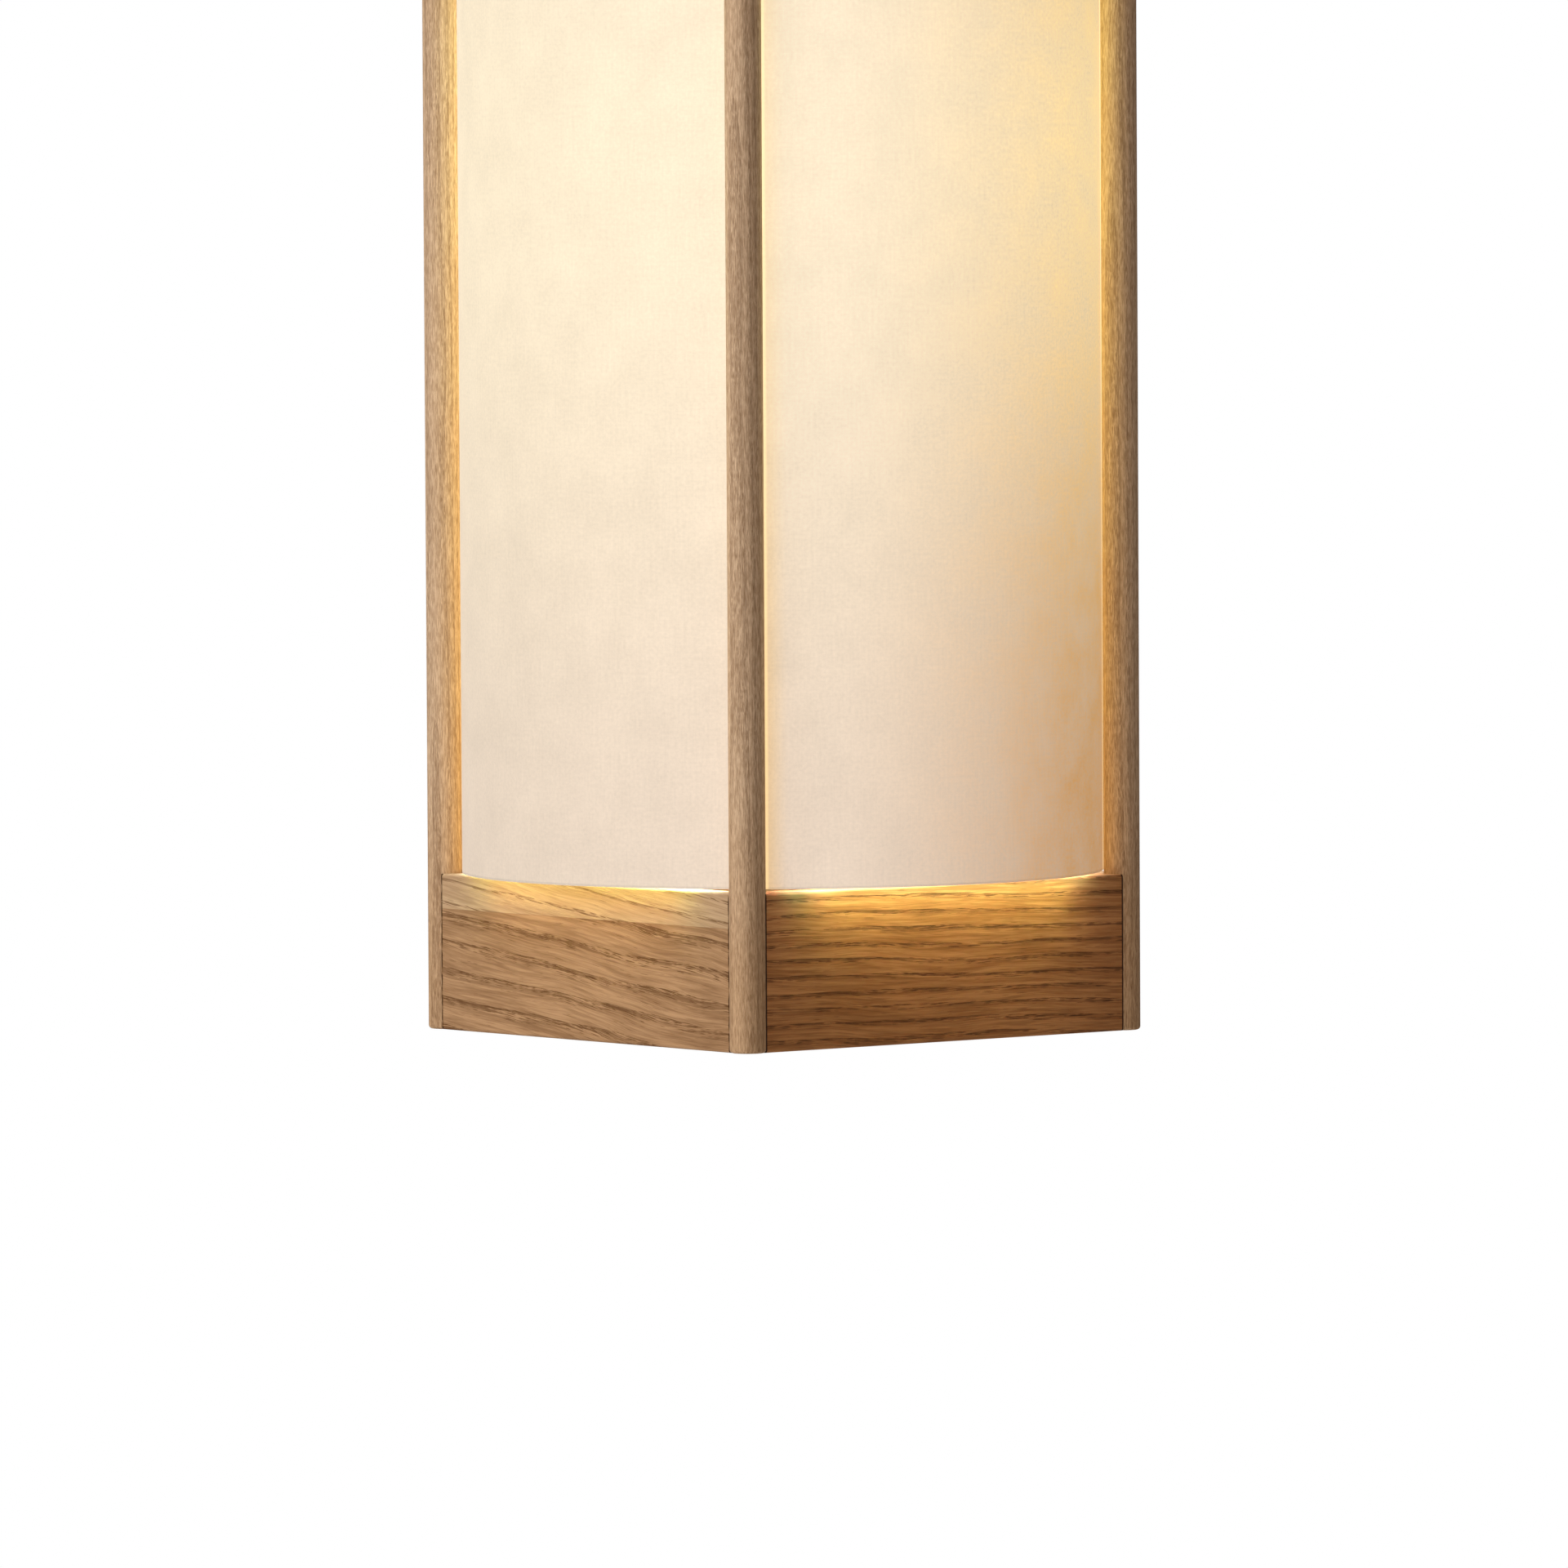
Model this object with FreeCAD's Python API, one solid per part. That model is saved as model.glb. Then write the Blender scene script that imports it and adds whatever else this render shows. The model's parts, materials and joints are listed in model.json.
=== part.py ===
"""Wooden pendant lantern: four round posts, lower and upper boards, a drum shade and its lampholder.

Millimetres, +Z up. The origin is the mouth of the cord gland, the point the lantern hangs from.
-Y is the front and -X is the left side.
"""

import FreeCAD, Part
import math
import os

# Wooden frame
post_spacing = 200.0            # between post axes, along X and along Y
post_diameter = 15.0
post_length = 520.0
post_end_rounding = 1.5
board_thickness = 12.0
board_height = 65.0
board_edge_rounding = 1.2

# Dowels of the butt joints, two to a joint
dowel_diameter = 5.0
dowel_length = 26.0
dowel_depth_in_post = 9.0
dowel_chamfer = 0.6
dowel_fit = 0.05                # radial room for glue
dowel_end_room = 1.0
dowel_first_height = 14.0       # above the lower edge of a front or back board
dowel_pitch = 32.0              # between the two dowels of one joint
dowel_stagger = 8.0             # side boards have theirs this much higher

# Drum shade
shade_post_clearance = 0.4
shade_board_gap = 1.2
skin_thickness = 0.6
lap_width = 12.0                # glued overlap of the skin's two ends
lap_post_clearance = 1.5        # lap beside the back right post, in a straight line past its side
wire_diameter = 3.0
hoop_fit = 0.3                  # between a hoop and the skin glued round it
hoop_inset = 5.0                # from the skin's edge to the hoop's middle
arm_count = 3
arm_wire_diameter = 2.6
arm_weld_overlap = 1.5
carrier_ring_margin = 3.0       # past the shade ring that clamps it
carrier_ring_thickness = 2.0

# Hanger bar across the upper frame, with its screws
bar_width = 25.0
bar_thickness = 3.0
bar_drop = 12.0                 # from the frame's top down to the bar
bar_tab_length = 22.0
bar_bend_radius = 2.0           # inside of the bend
tab_screw_pitch = 14.0
tab_screw_rise = 8.0            # above the tab's lower end
screw_diameter = 4.0
screw_length = 10.0
screw_head_diameter = 8.0
screw_head_height = 2.6
screw_fit = 0.05
screw_tip_room = 0.5

# Threaded nipple, nuts, washers and cord gland
nipple_diameter = 10.0
nipple_bore = 7.6
nipple_fit = 0.1                # radial, in nuts, washers, bar, gland and holder
nipple_in_gland = 11.0
nipple_in_holder = 8.0
nut_flats = 14.0
nut_thickness = 4.0
nut_corner_rounding = 0.6
washer_diameter = 20.0
washer_thickness = 1.5
gland_diameter = 18.0
gland_height = 24.0
gland_throat = 7.0
gland_socket_room = 1.0
gland_edge_rounding = 2.0
gland_screw_diameter = 4.0
gland_screw_length = 4.6
gland_screw_height = 7.0        # below the gland's mouth
gland_screw_fit = 0.05

# Lampholder
holder_diameter = 39.5          # threaded skirt
holder_wall = 3.0
flange_diameter = 50.0
flange_thickness = 3.0
skirt_length = 28.0             # below the flange
cap_height = 27.0
cap_wall = 2.5
cap_neck_diameter = 20.0
cap_neck_height = 9.0
cap_shoulder_rounding = 9.0
shade_ring_diameter = 57.0
shade_ring_fit = 0.3
shade_ring_lip = 2.5
shade_ring_height = 11.0
shade_ring_collar = 3.2         # wall of the collar
shade_ring_grips = 12
shade_ring_grip_diameter = 4.0
block_thickness = 12.0
block_fit = 0.3
shell_wall = 0.5
shell_length = 23.0
shell_rim_bore = 20.0
shell_fit = 0.4                 # between shell and lamp cap
terminal_spacing = 17.0
terminal_screw_diameter = 3.0
terminal_screw_length = 6.0
terminal_head_diameter = 5.6
terminal_head_height = 2.0
tongue_width = 6.0
tongue_thickness = 0.6
tongue_length = 11.0

# Lamp
lamp_length = 109.0
globe_diameter = 60.0
globe_wall = 1.2
globe_seam_rise = 12.0          # from the globe's middle up to its rim
housing_neck_diameter = 29.0
housing_neck_length = 3.0
housing_flare_sag = 2.5         # how far the flare is drawn in from a straight cone
lamp_cap_diameter = 26.2
lamp_cap_wall = 0.8
lamp_cap_length = 22.0
lamp_cap_fit = 0.05             # round the housing's plug
lamp_cap_end_room = 0.2
lamp_cap_below_skirt = 1.0
insulator_height = 3.2
insulator_top_diameter = 12.0
contact_diameter = 9.4
contact_height = 1.8
contact_gap = 0.3               # between the lamp's contact and the holder's tongue
led_board_diameter = 44.0
led_board_thickness = 1.6

# Heights, from the gland's mouth down
gland_bottom = -gland_height
upper_washer_top = gland_bottom - nut_thickness
bar_top = upper_washer_top - washer_thickness
bar_bottom = bar_top - bar_thickness
lower_washer_bottom = bar_bottom - washer_thickness
frame_top = bar_top + bar_drop
frame_bottom = frame_top - post_length
lower_board_top = frame_bottom + board_height
upper_board_bottom = frame_top - board_height
shade_bottom = lower_board_top + shade_board_gap
shade_top = upper_board_bottom - shade_board_gap
carrier_middle = shade_top - hoop_inset
flange_bottom = carrier_middle + carrier_ring_thickness / 2
flange_top = flange_bottom + flange_thickness
cap_top = flange_top + cap_height
nipple_bottom = cap_top - nipple_in_holder
nipple_top = gland_bottom + nipple_in_gland
skirt_bottom = flange_bottom - skirt_length
lamp_cap_bottom = skirt_bottom - lamp_cap_below_skirt
lamp_cap_top = lamp_cap_bottom + lamp_cap_length
contact_bottom = lamp_cap_top + insulator_height
contact_top = contact_bottom + contact_height
tongue_bottom = contact_top + contact_gap
block_bottom = tongue_bottom + 2 * tongue_thickness
lamp_bottom = contact_top - lamp_length
globe_middle = lamp_bottom + globe_diameter / 2
globe_rim = globe_middle + globe_seam_rise

# Places across
post_offset = post_spacing / 2
post_radius = post_diameter / 2
flat_depth = math.sqrt(post_radius ** 2 - (board_thickness / 2) ** 2)
board_length = post_spacing - 2 * flat_depth
board_inner = post_offset - board_thickness / 2
corner_radius = post_offset * math.sqrt(2)
skin_outer = corner_radius - post_radius - shade_post_clearance
skin_inner = skin_outer - skin_thickness
hoop_radius = skin_inner - hoop_fit - wire_diameter / 2
holder_inner = holder_diameter / 2 - holder_wall
shell_inner = lamp_cap_diameter / 2 + shell_fit

UP = FreeCAD.Vector(0, 0, 1)
TINY = 1e-6
quarter_turns = {"front": 0, "right": 1, "back": 2, "left": 3}


def rod(radius, x, y, low, high):
    """Upright round bar between two heights."""
    return Part.makeCylinder(radius, high - low, FreeCAD.Vector(x, y, low), UP)


def slab(size_x, size_y, low, high, x=0.0, y=0.0):
    """Upright block centred on (x, y)."""
    corner = FreeCAD.Vector(x - size_x / 2, y - size_y / 2, low)
    return Part.makeBox(size_x, size_y, high - low, corner)


def cross_rod(radius, start, direction, length):
    """Round bar along any direction."""
    return Part.makeCylinder(radius, length, FreeCAD.Vector(*start), FreeCAD.Vector(*direction))


def turned(points):
    """Solid of revolution about Z. Points are (radius, height), or (radius, height, (via radius, via
    height)) where the line to that point is an arc through the via point."""
    spots = [FreeCAD.Vector(p[0], 0, p[1]) for p in points]
    edges = []
    for i, point in enumerate(points):
        start, end = spots[i - 1], spots[i]
        if len(point) == 3:
            via = FreeCAD.Vector(point[2][0], 0, point[2][1])
            edges.append(Part.Arc(start, via, end).toShape())
        else:
            edges.append(Part.LineSegment(start, end).toShape())
    face = Part.Face(Part.Wire(edges))
    return face.revolve(FreeCAD.Vector(0, 0, 0), UP, 360)


def tube(outer, inner, low, high):
    """Upright ring or tube."""
    return rod(outer, 0, 0, low, high).cut(rod(inner, 0, 0, low, high))


def edges_at(shape, wanted):
    """Edges of a shape whose middle satisfies a test."""
    return [edge for edge in shape.Edges if wanted(edge.CenterOfMass)]


def board_end_flats(x, y, low, high):
    """Blocks that cut the two flats of a post, on its sides that face along the frame."""
    toward_x = -math.copysign(1.0, x)
    toward_y = -math.copysign(1.0, y)
    past = post_radius
    along_x = slab(past, post_diameter, low, high, x + toward_x * (flat_depth + past / 2), y)
    along_y = slab(post_diameter, past, low, high, x, y + toward_y * (flat_depth + past / 2))
    return along_x.fuse(along_y)


def dowel_heights(board_low, side_board):
    """Heights of a joint's two dowels. Side boards are staggered, so that holes in a post don't meet."""
    first = board_low + dowel_first_height + (dowel_stagger if side_board else 0.0)
    return [first, first + dowel_pitch]


def dowel_places(board_low):
    """Start point and direction, from post to board, of every dowel of one tier."""
    places = []
    start = post_offset - flat_depth + dowel_depth_in_post
    for end in (-1, 1):
        for side in (-1, 1):
            for height in dowel_heights(board_low, side_board=False):
                places.append(((end * start, side * post_offset, height), (-end, 0, 0)))
            for height in dowel_heights(board_low, side_board=True):
                places.append(((side * post_offset, end * start, height), (0, -end, 0)))
    return places


def dowel_holes(board_low):
    """All dowel holes of one tier, with room round and past the ends of the dowels."""
    holes = []
    for start, direction in dowel_places(board_low):
        back = [s - d * dowel_end_room for s, d in zip(start, direction)]
        length = dowel_length + 2 * dowel_end_room
        holes.append(cross_rod(dowel_diameter / 2 + dowel_fit, back, direction, length))
    return Part.makeCompound(holes)


def make_dowels(board_low):
    """The dowels of one tier, with chamfered ends."""
    dowels = []
    for start, direction in dowel_places(board_low):
        dowel = cross_rod(dowel_diameter / 2, start, direction, dowel_length)
        rims = [edge for edge in dowel.Edges if edge.Curve.TypeId == "Part::GeomCircle"]
        dowels.append(dowel.makeChamfer(dowel_chamfer, rims))
    return Part.makeCompound(dowels)


def make_post(x, y):
    """Round post with softened ends, two flats at each tier of boards and its dowel holes."""
    post = rod(post_radius, x, y, frame_bottom, frame_top)
    rims = [edge for edge in post.Edges if edge.Curve.TypeId == "Part::GeomCircle"]
    post = post.makeFillet(post_end_rounding, rims)
    for low, high in ((frame_bottom, lower_board_top), (upper_board_bottom, frame_top)):
        post = post.cut(board_end_flats(x, y, low, high))
        post = post.cut(dowel_holes(low))
    return post


def make_board(low, side):
    """Board between two posts, its long edges rounded, its inner end corners mitred where it would meet
    its neighbours, and bored for its dowels."""
    high = low + board_height
    half = board_length / 2
    outer = -post_offset - board_thickness / 2
    inner = -board_inner
    mitre = max(board_thickness / 2 - flat_depth, 0.0)
    plan = [(-half, outer), (half, outer), (half, inner - mitre)]
    if mitre > 0:
        plan += [(half - mitre, inner), (mitre - half, inner)]
    plan.append((-half, inner - mitre))
    corners = [FreeCAD.Vector(x, y, low) for x, y in plan + plan[:1]]
    board = Part.Face(Part.makePolygon(corners)).extrude(UP * board_height)
    long_edges = edges_at(board, lambda c: abs(c.x) < TINY and min(c.z - low, high - c.z) < TINY)
    board = board.makeFillet(board_edge_rounding, long_edges)
    board.rotate(FreeCAD.Vector(0, 0, 0), UP, quarter_turns[side] * 90)
    return board.cut(dowel_holes(low))


def hanger_screw_places():
    """Start point, under the head, and direction of the four hanger screws."""
    height = bar_top - bar_tab_length + tab_screw_rise
    places = []
    for side in (-1, 1):
        for x in (-tab_screw_pitch / 2, tab_screw_pitch / 2):
            places.append(((x, side * (board_inner - bar_thickness), height), (0, side, 0)))
    return places


def hanger_screw_holes():
    """Clearance holes through the bar's tabs and pilot holes in the boards behind them."""
    holes = []
    for start, direction in hanger_screw_places():
        length = screw_length + screw_tip_room
        holes.append(cross_rod(screw_diameter / 2 + screw_fit, start, direction, length))
    return Part.makeCompound(holes)


def make_hanger_screws():
    """Round-headed screws that hold the bar's tabs to the front and back upper boards."""
    screws = []
    head_radius = screw_head_diameter / 2
    for start, direction in hanger_screw_places():
        shank = cross_rod(screw_diameter / 2, start, direction, screw_length)
        ball_radius = (head_radius ** 2 + screw_head_height ** 2) / (2 * screw_head_height)
        sink = ball_radius - screw_head_height
        middle = FreeCAD.Vector(*[s + d * sink for s, d in zip(start, direction)])
        back = tuple(-d for d in direction)
        head = Part.makeSphere(ball_radius, middle)
        head = head.common(cross_rod(ball_radius, start, back, screw_head_height))
        screws.append(shank.fuse(head).removeSplitter())
    return Part.makeCompound(screws)


def make_hanger_bar():
    """Flat bar bent down at both ends into tabs against the boards."""
    tab_bottom = bar_top - bar_tab_length
    span = 2 * board_inner
    bar = slab(bar_width, span, tab_bottom, bar_top)
    bar = bar.cut(slab(bar_width, span - 2 * bar_thickness, tab_bottom, bar_bottom))
    inner = board_inner - bar_thickness
    outside = edges_at(bar, lambda c: abs(c.z - bar_top) < TINY and abs(abs(c.y) - board_inner) < TINY)
    bar = bar.makeFillet(bar_bend_radius + bar_thickness, outside)
    inside = edges_at(bar, lambda c: abs(c.z - bar_bottom) < TINY and abs(abs(c.y) - inner) < TINY)
    bar = bar.makeFillet(bar_bend_radius, inside)
    bar = bar.cut(rod(nipple_diameter / 2 + nipple_fit, 0, 0, tab_bottom, bar_top))
    return bar.cut(hanger_screw_holes())


def make_upper_board(side):
    """Upper board. The front and back ones carry the hanger bar's screws."""
    return make_board(upper_board_bottom, side).cut(hanger_screw_holes())


def make_nipple():
    """Threaded tube that the cord runs through."""
    return tube(nipple_diameter / 2, nipple_bore / 2, nipple_bottom, nipple_top)


def make_washers():
    """Washers above and below the hanger bar."""
    bore = nipple_diameter / 2 + nipple_fit
    upper = tube(washer_diameter / 2, bore, bar_top, upper_washer_top)
    lower = tube(washer_diameter / 2, bore, lower_washer_bottom, bar_bottom)
    return Part.makeCompound([upper, lower])


def make_nut(low):
    """Hexagon nut with its corners turned off."""
    corner = nut_flats / math.sqrt(3)
    spots = []
    for i in range(7):
        angle = math.radians(60 * i)
        spots.append(FreeCAD.Vector(corner * math.cos(angle), corner * math.sin(angle), low))
    hexagon = Part.Face(Part.makePolygon(spots)).extrude(UP * nut_thickness)
    high = low + nut_thickness
    flat = nut_flats / 2
    past = 2 * corner - flat
    drop = 2 * nut_corner_rounding
    profile = [(0, low), (flat, low), (past, low + drop), (past, high - drop), (flat, high), (0, high)]
    nut = hexagon.common(turned(profile))
    return nut.cut(rod(nipple_diameter / 2 + nipple_fit, 0, 0, low, high))


def make_nuts():
    """Lock nuts above and below the hanger bar."""
    return Part.makeCompound([make_nut(upper_washer_top), make_nut(lower_washer_bottom - nut_thickness)])


def make_gland():
    """Cord gland: a round body with a throat for the cord and a threaded socket for the nipple."""
    body = rod(gland_diameter / 2, 0, 0, gland_bottom, 0)
    rim = edges_at(body, lambda c: abs(c.z) < TINY)
    body = body.makeFillet(gland_edge_rounding, rim)
    body = body.cut(rod(gland_throat / 2, 0, 0, gland_bottom, 0))
    socket = nipple_diameter / 2 + nipple_fit
    body = body.cut(rod(socket, 0, 0, gland_bottom, nipple_top + gland_socket_room))
    hole = gland_screw_diameter / 2 + gland_screw_fit
    return body.cut(cross_rod(hole, (0, 0, -gland_screw_height), (1, 0, 0), gland_diameter / 2))


def make_gland_screw():
    """Slotted grub screw that clamps the cord, with its end at the gland's side."""
    start = (gland_diameter / 2 - gland_screw_length, 0, -gland_screw_height)
    screw = cross_rod(gland_screw_diameter / 2, start, (1, 0, 0), gland_screw_length)
    slot_width = gland_screw_diameter / 5
    slot_depth = gland_screw_length / 4
    low = -gland_screw_height - slot_width / 2
    middle = gland_diameter / 2 - slot_depth / 2
    return screw.cut(slab(slot_depth, gland_screw_diameter, low, low + slot_width, middle, 0))


def make_holder_cap():
    """Domed cap of the lampholder, with the nipple's socket in its neck."""
    outer = holder_diameter / 2
    neck = cap_neck_diameter / 2
    shoulder = cap_top - cap_neck_height
    bend = min(cap_shoulder_rounding, 0.9 * (outer - neck))
    slant = bend * (1 - math.sqrt(0.5))
    inner = outer - cap_wall
    ceiling = shoulder - cap_wall
    inner_bend = bend - cap_wall
    inner_slant = inner_bend * (1 - math.sqrt(0.5))
    bore = nipple_diameter / 2 + nipple_fit
    profile = [
        (inner, flange_top),
        (outer, flange_top),
        (outer, shoulder - bend),
        (outer - bend, shoulder, (outer - slant, shoulder - slant)),
        (neck, shoulder),
        (neck, cap_top),
        (bore, cap_top),
        (bore, ceiling),
        (inner - inner_bend, ceiling),
        (inner, ceiling - inner_bend, (inner - inner_slant, ceiling - inner_slant)),
    ]
    return turned(profile)


def make_holder_skirt():
    """Skirt of the lampholder, with the flange that the shade carrier hangs under."""
    skirt = tube(holder_diameter / 2, holder_inner, skirt_bottom, flange_bottom)
    flange = tube(flange_diameter / 2, holder_inner, flange_bottom, flange_top)
    return skirt.fuse(flange).removeSplitter()


def make_shade_ring():
    """Ring that screws up the skirt and clamps the shade carrier, with finger grips round its collar."""
    top = carrier_middle - carrier_ring_thickness / 2
    bottom = top - shade_ring_height
    bore = holder_diameter / 2 + shade_ring_fit
    collar = bore + shade_ring_collar
    profile = [
        (bore, bottom),
        (collar, bottom),
        (collar, top - shade_ring_lip),
        (shade_ring_diameter / 2, top - shade_ring_lip),
        (shade_ring_diameter / 2, top),
        (bore, top),
    ]
    ring = turned(profile)
    grips = []
    grip_radius = shade_ring_grip_diameter / 2
    grip_middle = collar + grip_radius - shade_ring_collar / 2
    for i in range(shade_ring_grips):
        angle = 2 * math.pi * i / shade_ring_grips
        x, y = grip_middle * math.cos(angle), grip_middle * math.sin(angle)
        grips.append(rod(grip_radius, x, y, bottom, top - shade_ring_lip))
    return ring.cut(Part.makeCompound(grips))


def terminal_places():
    """Centres of the two terminal screws."""
    return [(-terminal_spacing / 2, 0.0), (terminal_spacing / 2, 0.0)]


def make_contact_block():
    """Ceramic block that carries the shell, the centre contact and the terminals."""
    radius = holder_inner - block_fit
    high = block_bottom + block_thickness
    block = rod(radius, 0, 0, block_bottom, high)
    hole = terminal_screw_diameter / 2 + screw_fit
    for x, y in terminal_places():
        block = block.cut(rod(hole, x, y, high - terminal_screw_length - screw_tip_room, high))
    return block


def make_terminal_screws():
    """Round-headed terminal screws on top of the contact block."""
    high = block_bottom + block_thickness
    screws = []
    for x, y in terminal_places():
        shank = rod(terminal_screw_diameter / 2, x, y, high - terminal_screw_length, high)
        head = rod(terminal_head_diameter / 2, x, y, high, high + terminal_head_height)
        screws.append(shank.fuse(head).removeSplitter())
    return Part.makeCompound(screws)


def make_screw_shell():
    """Brass shell that takes the lamp's cap, hung from the contact block by its inturned rim."""
    outer = shell_inner + shell_wall
    rim = shell_rim_bore / 2
    low = block_bottom - shell_length
    under = block_bottom - shell_wall
    profile = [
        (shell_inner, low),
        (outer, low),
        (outer, block_bottom),
        (rim, block_bottom),
        (rim, under),
        (shell_inner, under),
    ]
    return turned(profile)


def make_centre_contact():
    """Springy brass tongue under the contact block, bent down to meet the lamp's centre contact."""
    half = tongue_length / 2
    root = slab(tongue_length / 3, tongue_width, block_bottom - tongue_thickness, block_bottom, -half, 0)
    step_low = tongue_bottom
    tip = slab(tongue_length, tongue_width, step_low, step_low + tongue_thickness, -half / 3, 0)
    return root.fuse(tip).removeSplitter()


def make_shade_skin():
    """Drum of thin sheet, with the glued lap of its ends beside the back right post."""
    past_post = math.asin((post_radius + lap_post_clearance) / corner_radius)
    lap_start = math.pi / 4 + past_post
    lap_end = lap_start + lap_width / skin_outer
    lap_outer = skin_outer + skin_thickness

    def spot(radius, angle):
        return FreeCAD.Vector(radius * math.cos(angle), radius * math.sin(angle), shade_bottom)

    lap_middle = (lap_start + lap_end) / 2
    outline = Part.Wire([
        Part.LineSegment(spot(skin_outer, lap_start), spot(lap_outer, lap_start)).toShape(),
        Part.Arc(spot(lap_outer, lap_start), spot(lap_outer, lap_middle), spot(lap_outer, lap_end)).toShape(),
        Part.LineSegment(spot(lap_outer, lap_end), spot(skin_outer, lap_end)).toShape(),
        Part.Arc(spot(skin_outer, lap_end), spot(skin_outer, lap_middle + math.pi),
                 spot(skin_outer, lap_start)).toShape(),
    ])
    solid = Part.Face(outline).extrude(UP * (shade_top - shade_bottom))
    return solid.cut(rod(skin_inner, 0, 0, shade_bottom, shade_top))


def make_hoop(height):
    """Wire hoop that holds the skin round."""
    return Part.makeTorus(hoop_radius, wire_diameter / 2, FreeCAD.Vector(0, 0, height), UP)


def make_shade_carrier():
    """Upper hoop, arms and centre ring, welded into one piece."""
    ring_outer = shade_ring_diameter / 2 + carrier_ring_margin
    ring_bore = holder_diameter / 2 + shade_ring_fit
    half = carrier_ring_thickness / 2
    carrier = tube(ring_outer, ring_bore, carrier_middle - half, carrier_middle + half)
    wire = arm_wire_diameter / 2
    start = ring_outer - arm_weld_overlap
    for i in range(arm_count):
        angle = math.radians(90 + 360 / arm_count * i)
        way = (math.cos(angle), math.sin(angle), 0)
        begin = (start * way[0], start * way[1], carrier_middle)
        carrier = carrier.fuse(cross_rod(wire, begin, way, hoop_radius - start))
    return carrier.fuse(make_hoop(carrier_middle))


def make_globe():
    """Frosted dome of the lamp, a hollow ball cut off above its middle."""
    radius = globe_diameter / 2
    inside = radius - globe_wall
    rim_outer = math.sqrt(radius ** 2 - globe_seam_rise ** 2)
    rim_inner = math.sqrt(inside ** 2 - globe_seam_rise ** 2)
    profile = [
        (0, globe_middle - inside, (inside, globe_middle)),
        (0, globe_middle - radius),
        (rim_outer, globe_rim, (radius, globe_middle)),
        (rim_inner, globe_rim),
    ]
    return turned(profile)


def make_housing():
    """Flared housing between the lamp's globe and cap, with the plug that the cap is crimped on."""
    rim = math.sqrt((globe_diameter / 2) ** 2 - globe_seam_rise ** 2)
    neck = housing_neck_diameter / 2
    plug = lamp_cap_diameter / 2 - lamp_cap_wall - lamp_cap_fit
    plug_top = lamp_cap_top - lamp_cap_wall - lamp_cap_end_room
    neck_low = lamp_cap_bottom - housing_neck_length
    run, rise = rim - neck, neck_low - globe_rim
    chord = math.hypot(run, rise)
    via = (
        (rim + neck) / 2 - housing_flare_sag * rise / chord,
        (globe_rim + neck_low) / 2 - housing_flare_sag * run / chord,
    )
    profile = [
        (0, globe_rim),
        (rim, globe_rim),
        (neck, neck_low, via),
        (neck, lamp_cap_bottom),
        (plug, lamp_cap_bottom),
        (plug, plug_top),
        (0, plug_top),
    ]
    return turned(profile)


def make_led_board():
    """Light-source board on the housing, inside the globe."""
    return rod(led_board_diameter / 2, 0, 0, globe_rim - led_board_thickness, globe_rim)


def make_lamp_cap():
    """Metal screw cap of the lamp."""
    outer = lamp_cap_diameter / 2
    inner = outer - lamp_cap_wall
    cap = rod(outer, 0, 0, lamp_cap_bottom, lamp_cap_top)
    top = edges_at(cap, lambda c: abs(c.z - lamp_cap_top) < TINY)
    cap = cap.makeChamfer(lamp_cap_wall, top)
    return cap.cut(rod(inner, 0, 0, lamp_cap_bottom, lamp_cap_top - lamp_cap_wall))


def make_insulator():
    """Black glass cone between the lamp's cap and its centre contact."""
    base = lamp_cap_diameter / 2 - lamp_cap_wall
    foot = FreeCAD.Vector(0, 0, lamp_cap_top)
    return Part.makeCone(base, insulator_top_diameter / 2, insulator_height, foot, UP)


def make_contact():
    """Domed centre contact of the lamp."""
    button = rod(contact_diameter / 2, 0, 0, contact_bottom, contact_top)
    rim = edges_at(button, lambda c: abs(c.z - contact_top) < TINY)
    return button.makeFillet(contact_height / 2, rim)


def save(name, shape):
    """Write one piece to its own file."""
    shape.exportStep(os.path.join("parts", name + ".step"))


def main():
    """Build every piece and write it."""
    os.makedirs("parts", exist_ok=True)
    for depth, y_side in (("front", -1), ("back", 1)):
        for width, x_side in (("left", -1), ("right", 1)):
            save("post_" + depth + "_" + width, make_post(x_side * post_offset, y_side * post_offset))
    for side in quarter_turns:
        save("lower_board_" + side, make_board(frame_bottom, side))
        save("upper_board_" + side, make_upper_board(side))
    save("lower_dowels", make_dowels(frame_bottom))
    save("upper_dowels", make_dowels(upper_board_bottom))
    save("hanger_bar", make_hanger_bar())
    save("hanger_screws", make_hanger_screws())
    save("nipple", make_nipple())
    save("nipple_washers", make_washers())
    save("nipple_nuts", make_nuts())
    save("cord_gland", make_gland())
    save("gland_screw", make_gland_screw())
    save("holder_cap", make_holder_cap())
    save("holder_skirt", make_holder_skirt())
    save("shade_ring", make_shade_ring())
    save("contact_block", make_contact_block())
    save("terminal_screws", make_terminal_screws())
    save("screw_shell", make_screw_shell())
    save("centre_contact", make_centre_contact())
    save("shade_skin", make_shade_skin())
    save("shade_carrier", make_shade_carrier())
    save("shade_lower_hoop", make_hoop(shade_bottom + hoop_inset))
    save("lamp_globe", make_globe())
    save("lamp_housing", make_housing())
    save("lamp_led_board", make_led_board())
    save("lamp_cap", make_lamp_cap())
    save("lamp_insulator", make_insulator())
    save("lamp_contact", make_contact())


main()
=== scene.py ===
"""Looks of a hanging wooden lantern: its finishes, paper drum, screw threads and studio.

Metres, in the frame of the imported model: +Z up, -Y the front, the origin at the cord gland's mouth.
Grain and paper patterns are laid out in millimetres, as a maker reads them.
"""

import json
import logging
import math
from dataclasses import dataclass, field, fields, replace
from enum import Enum
from functools import lru_cache, reduce
from typing import Dict, List, Optional, Sequence, Tuple, Union

import bpy
import numpy as np
from mathutils import Matrix, Quaternion, Vector

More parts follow.
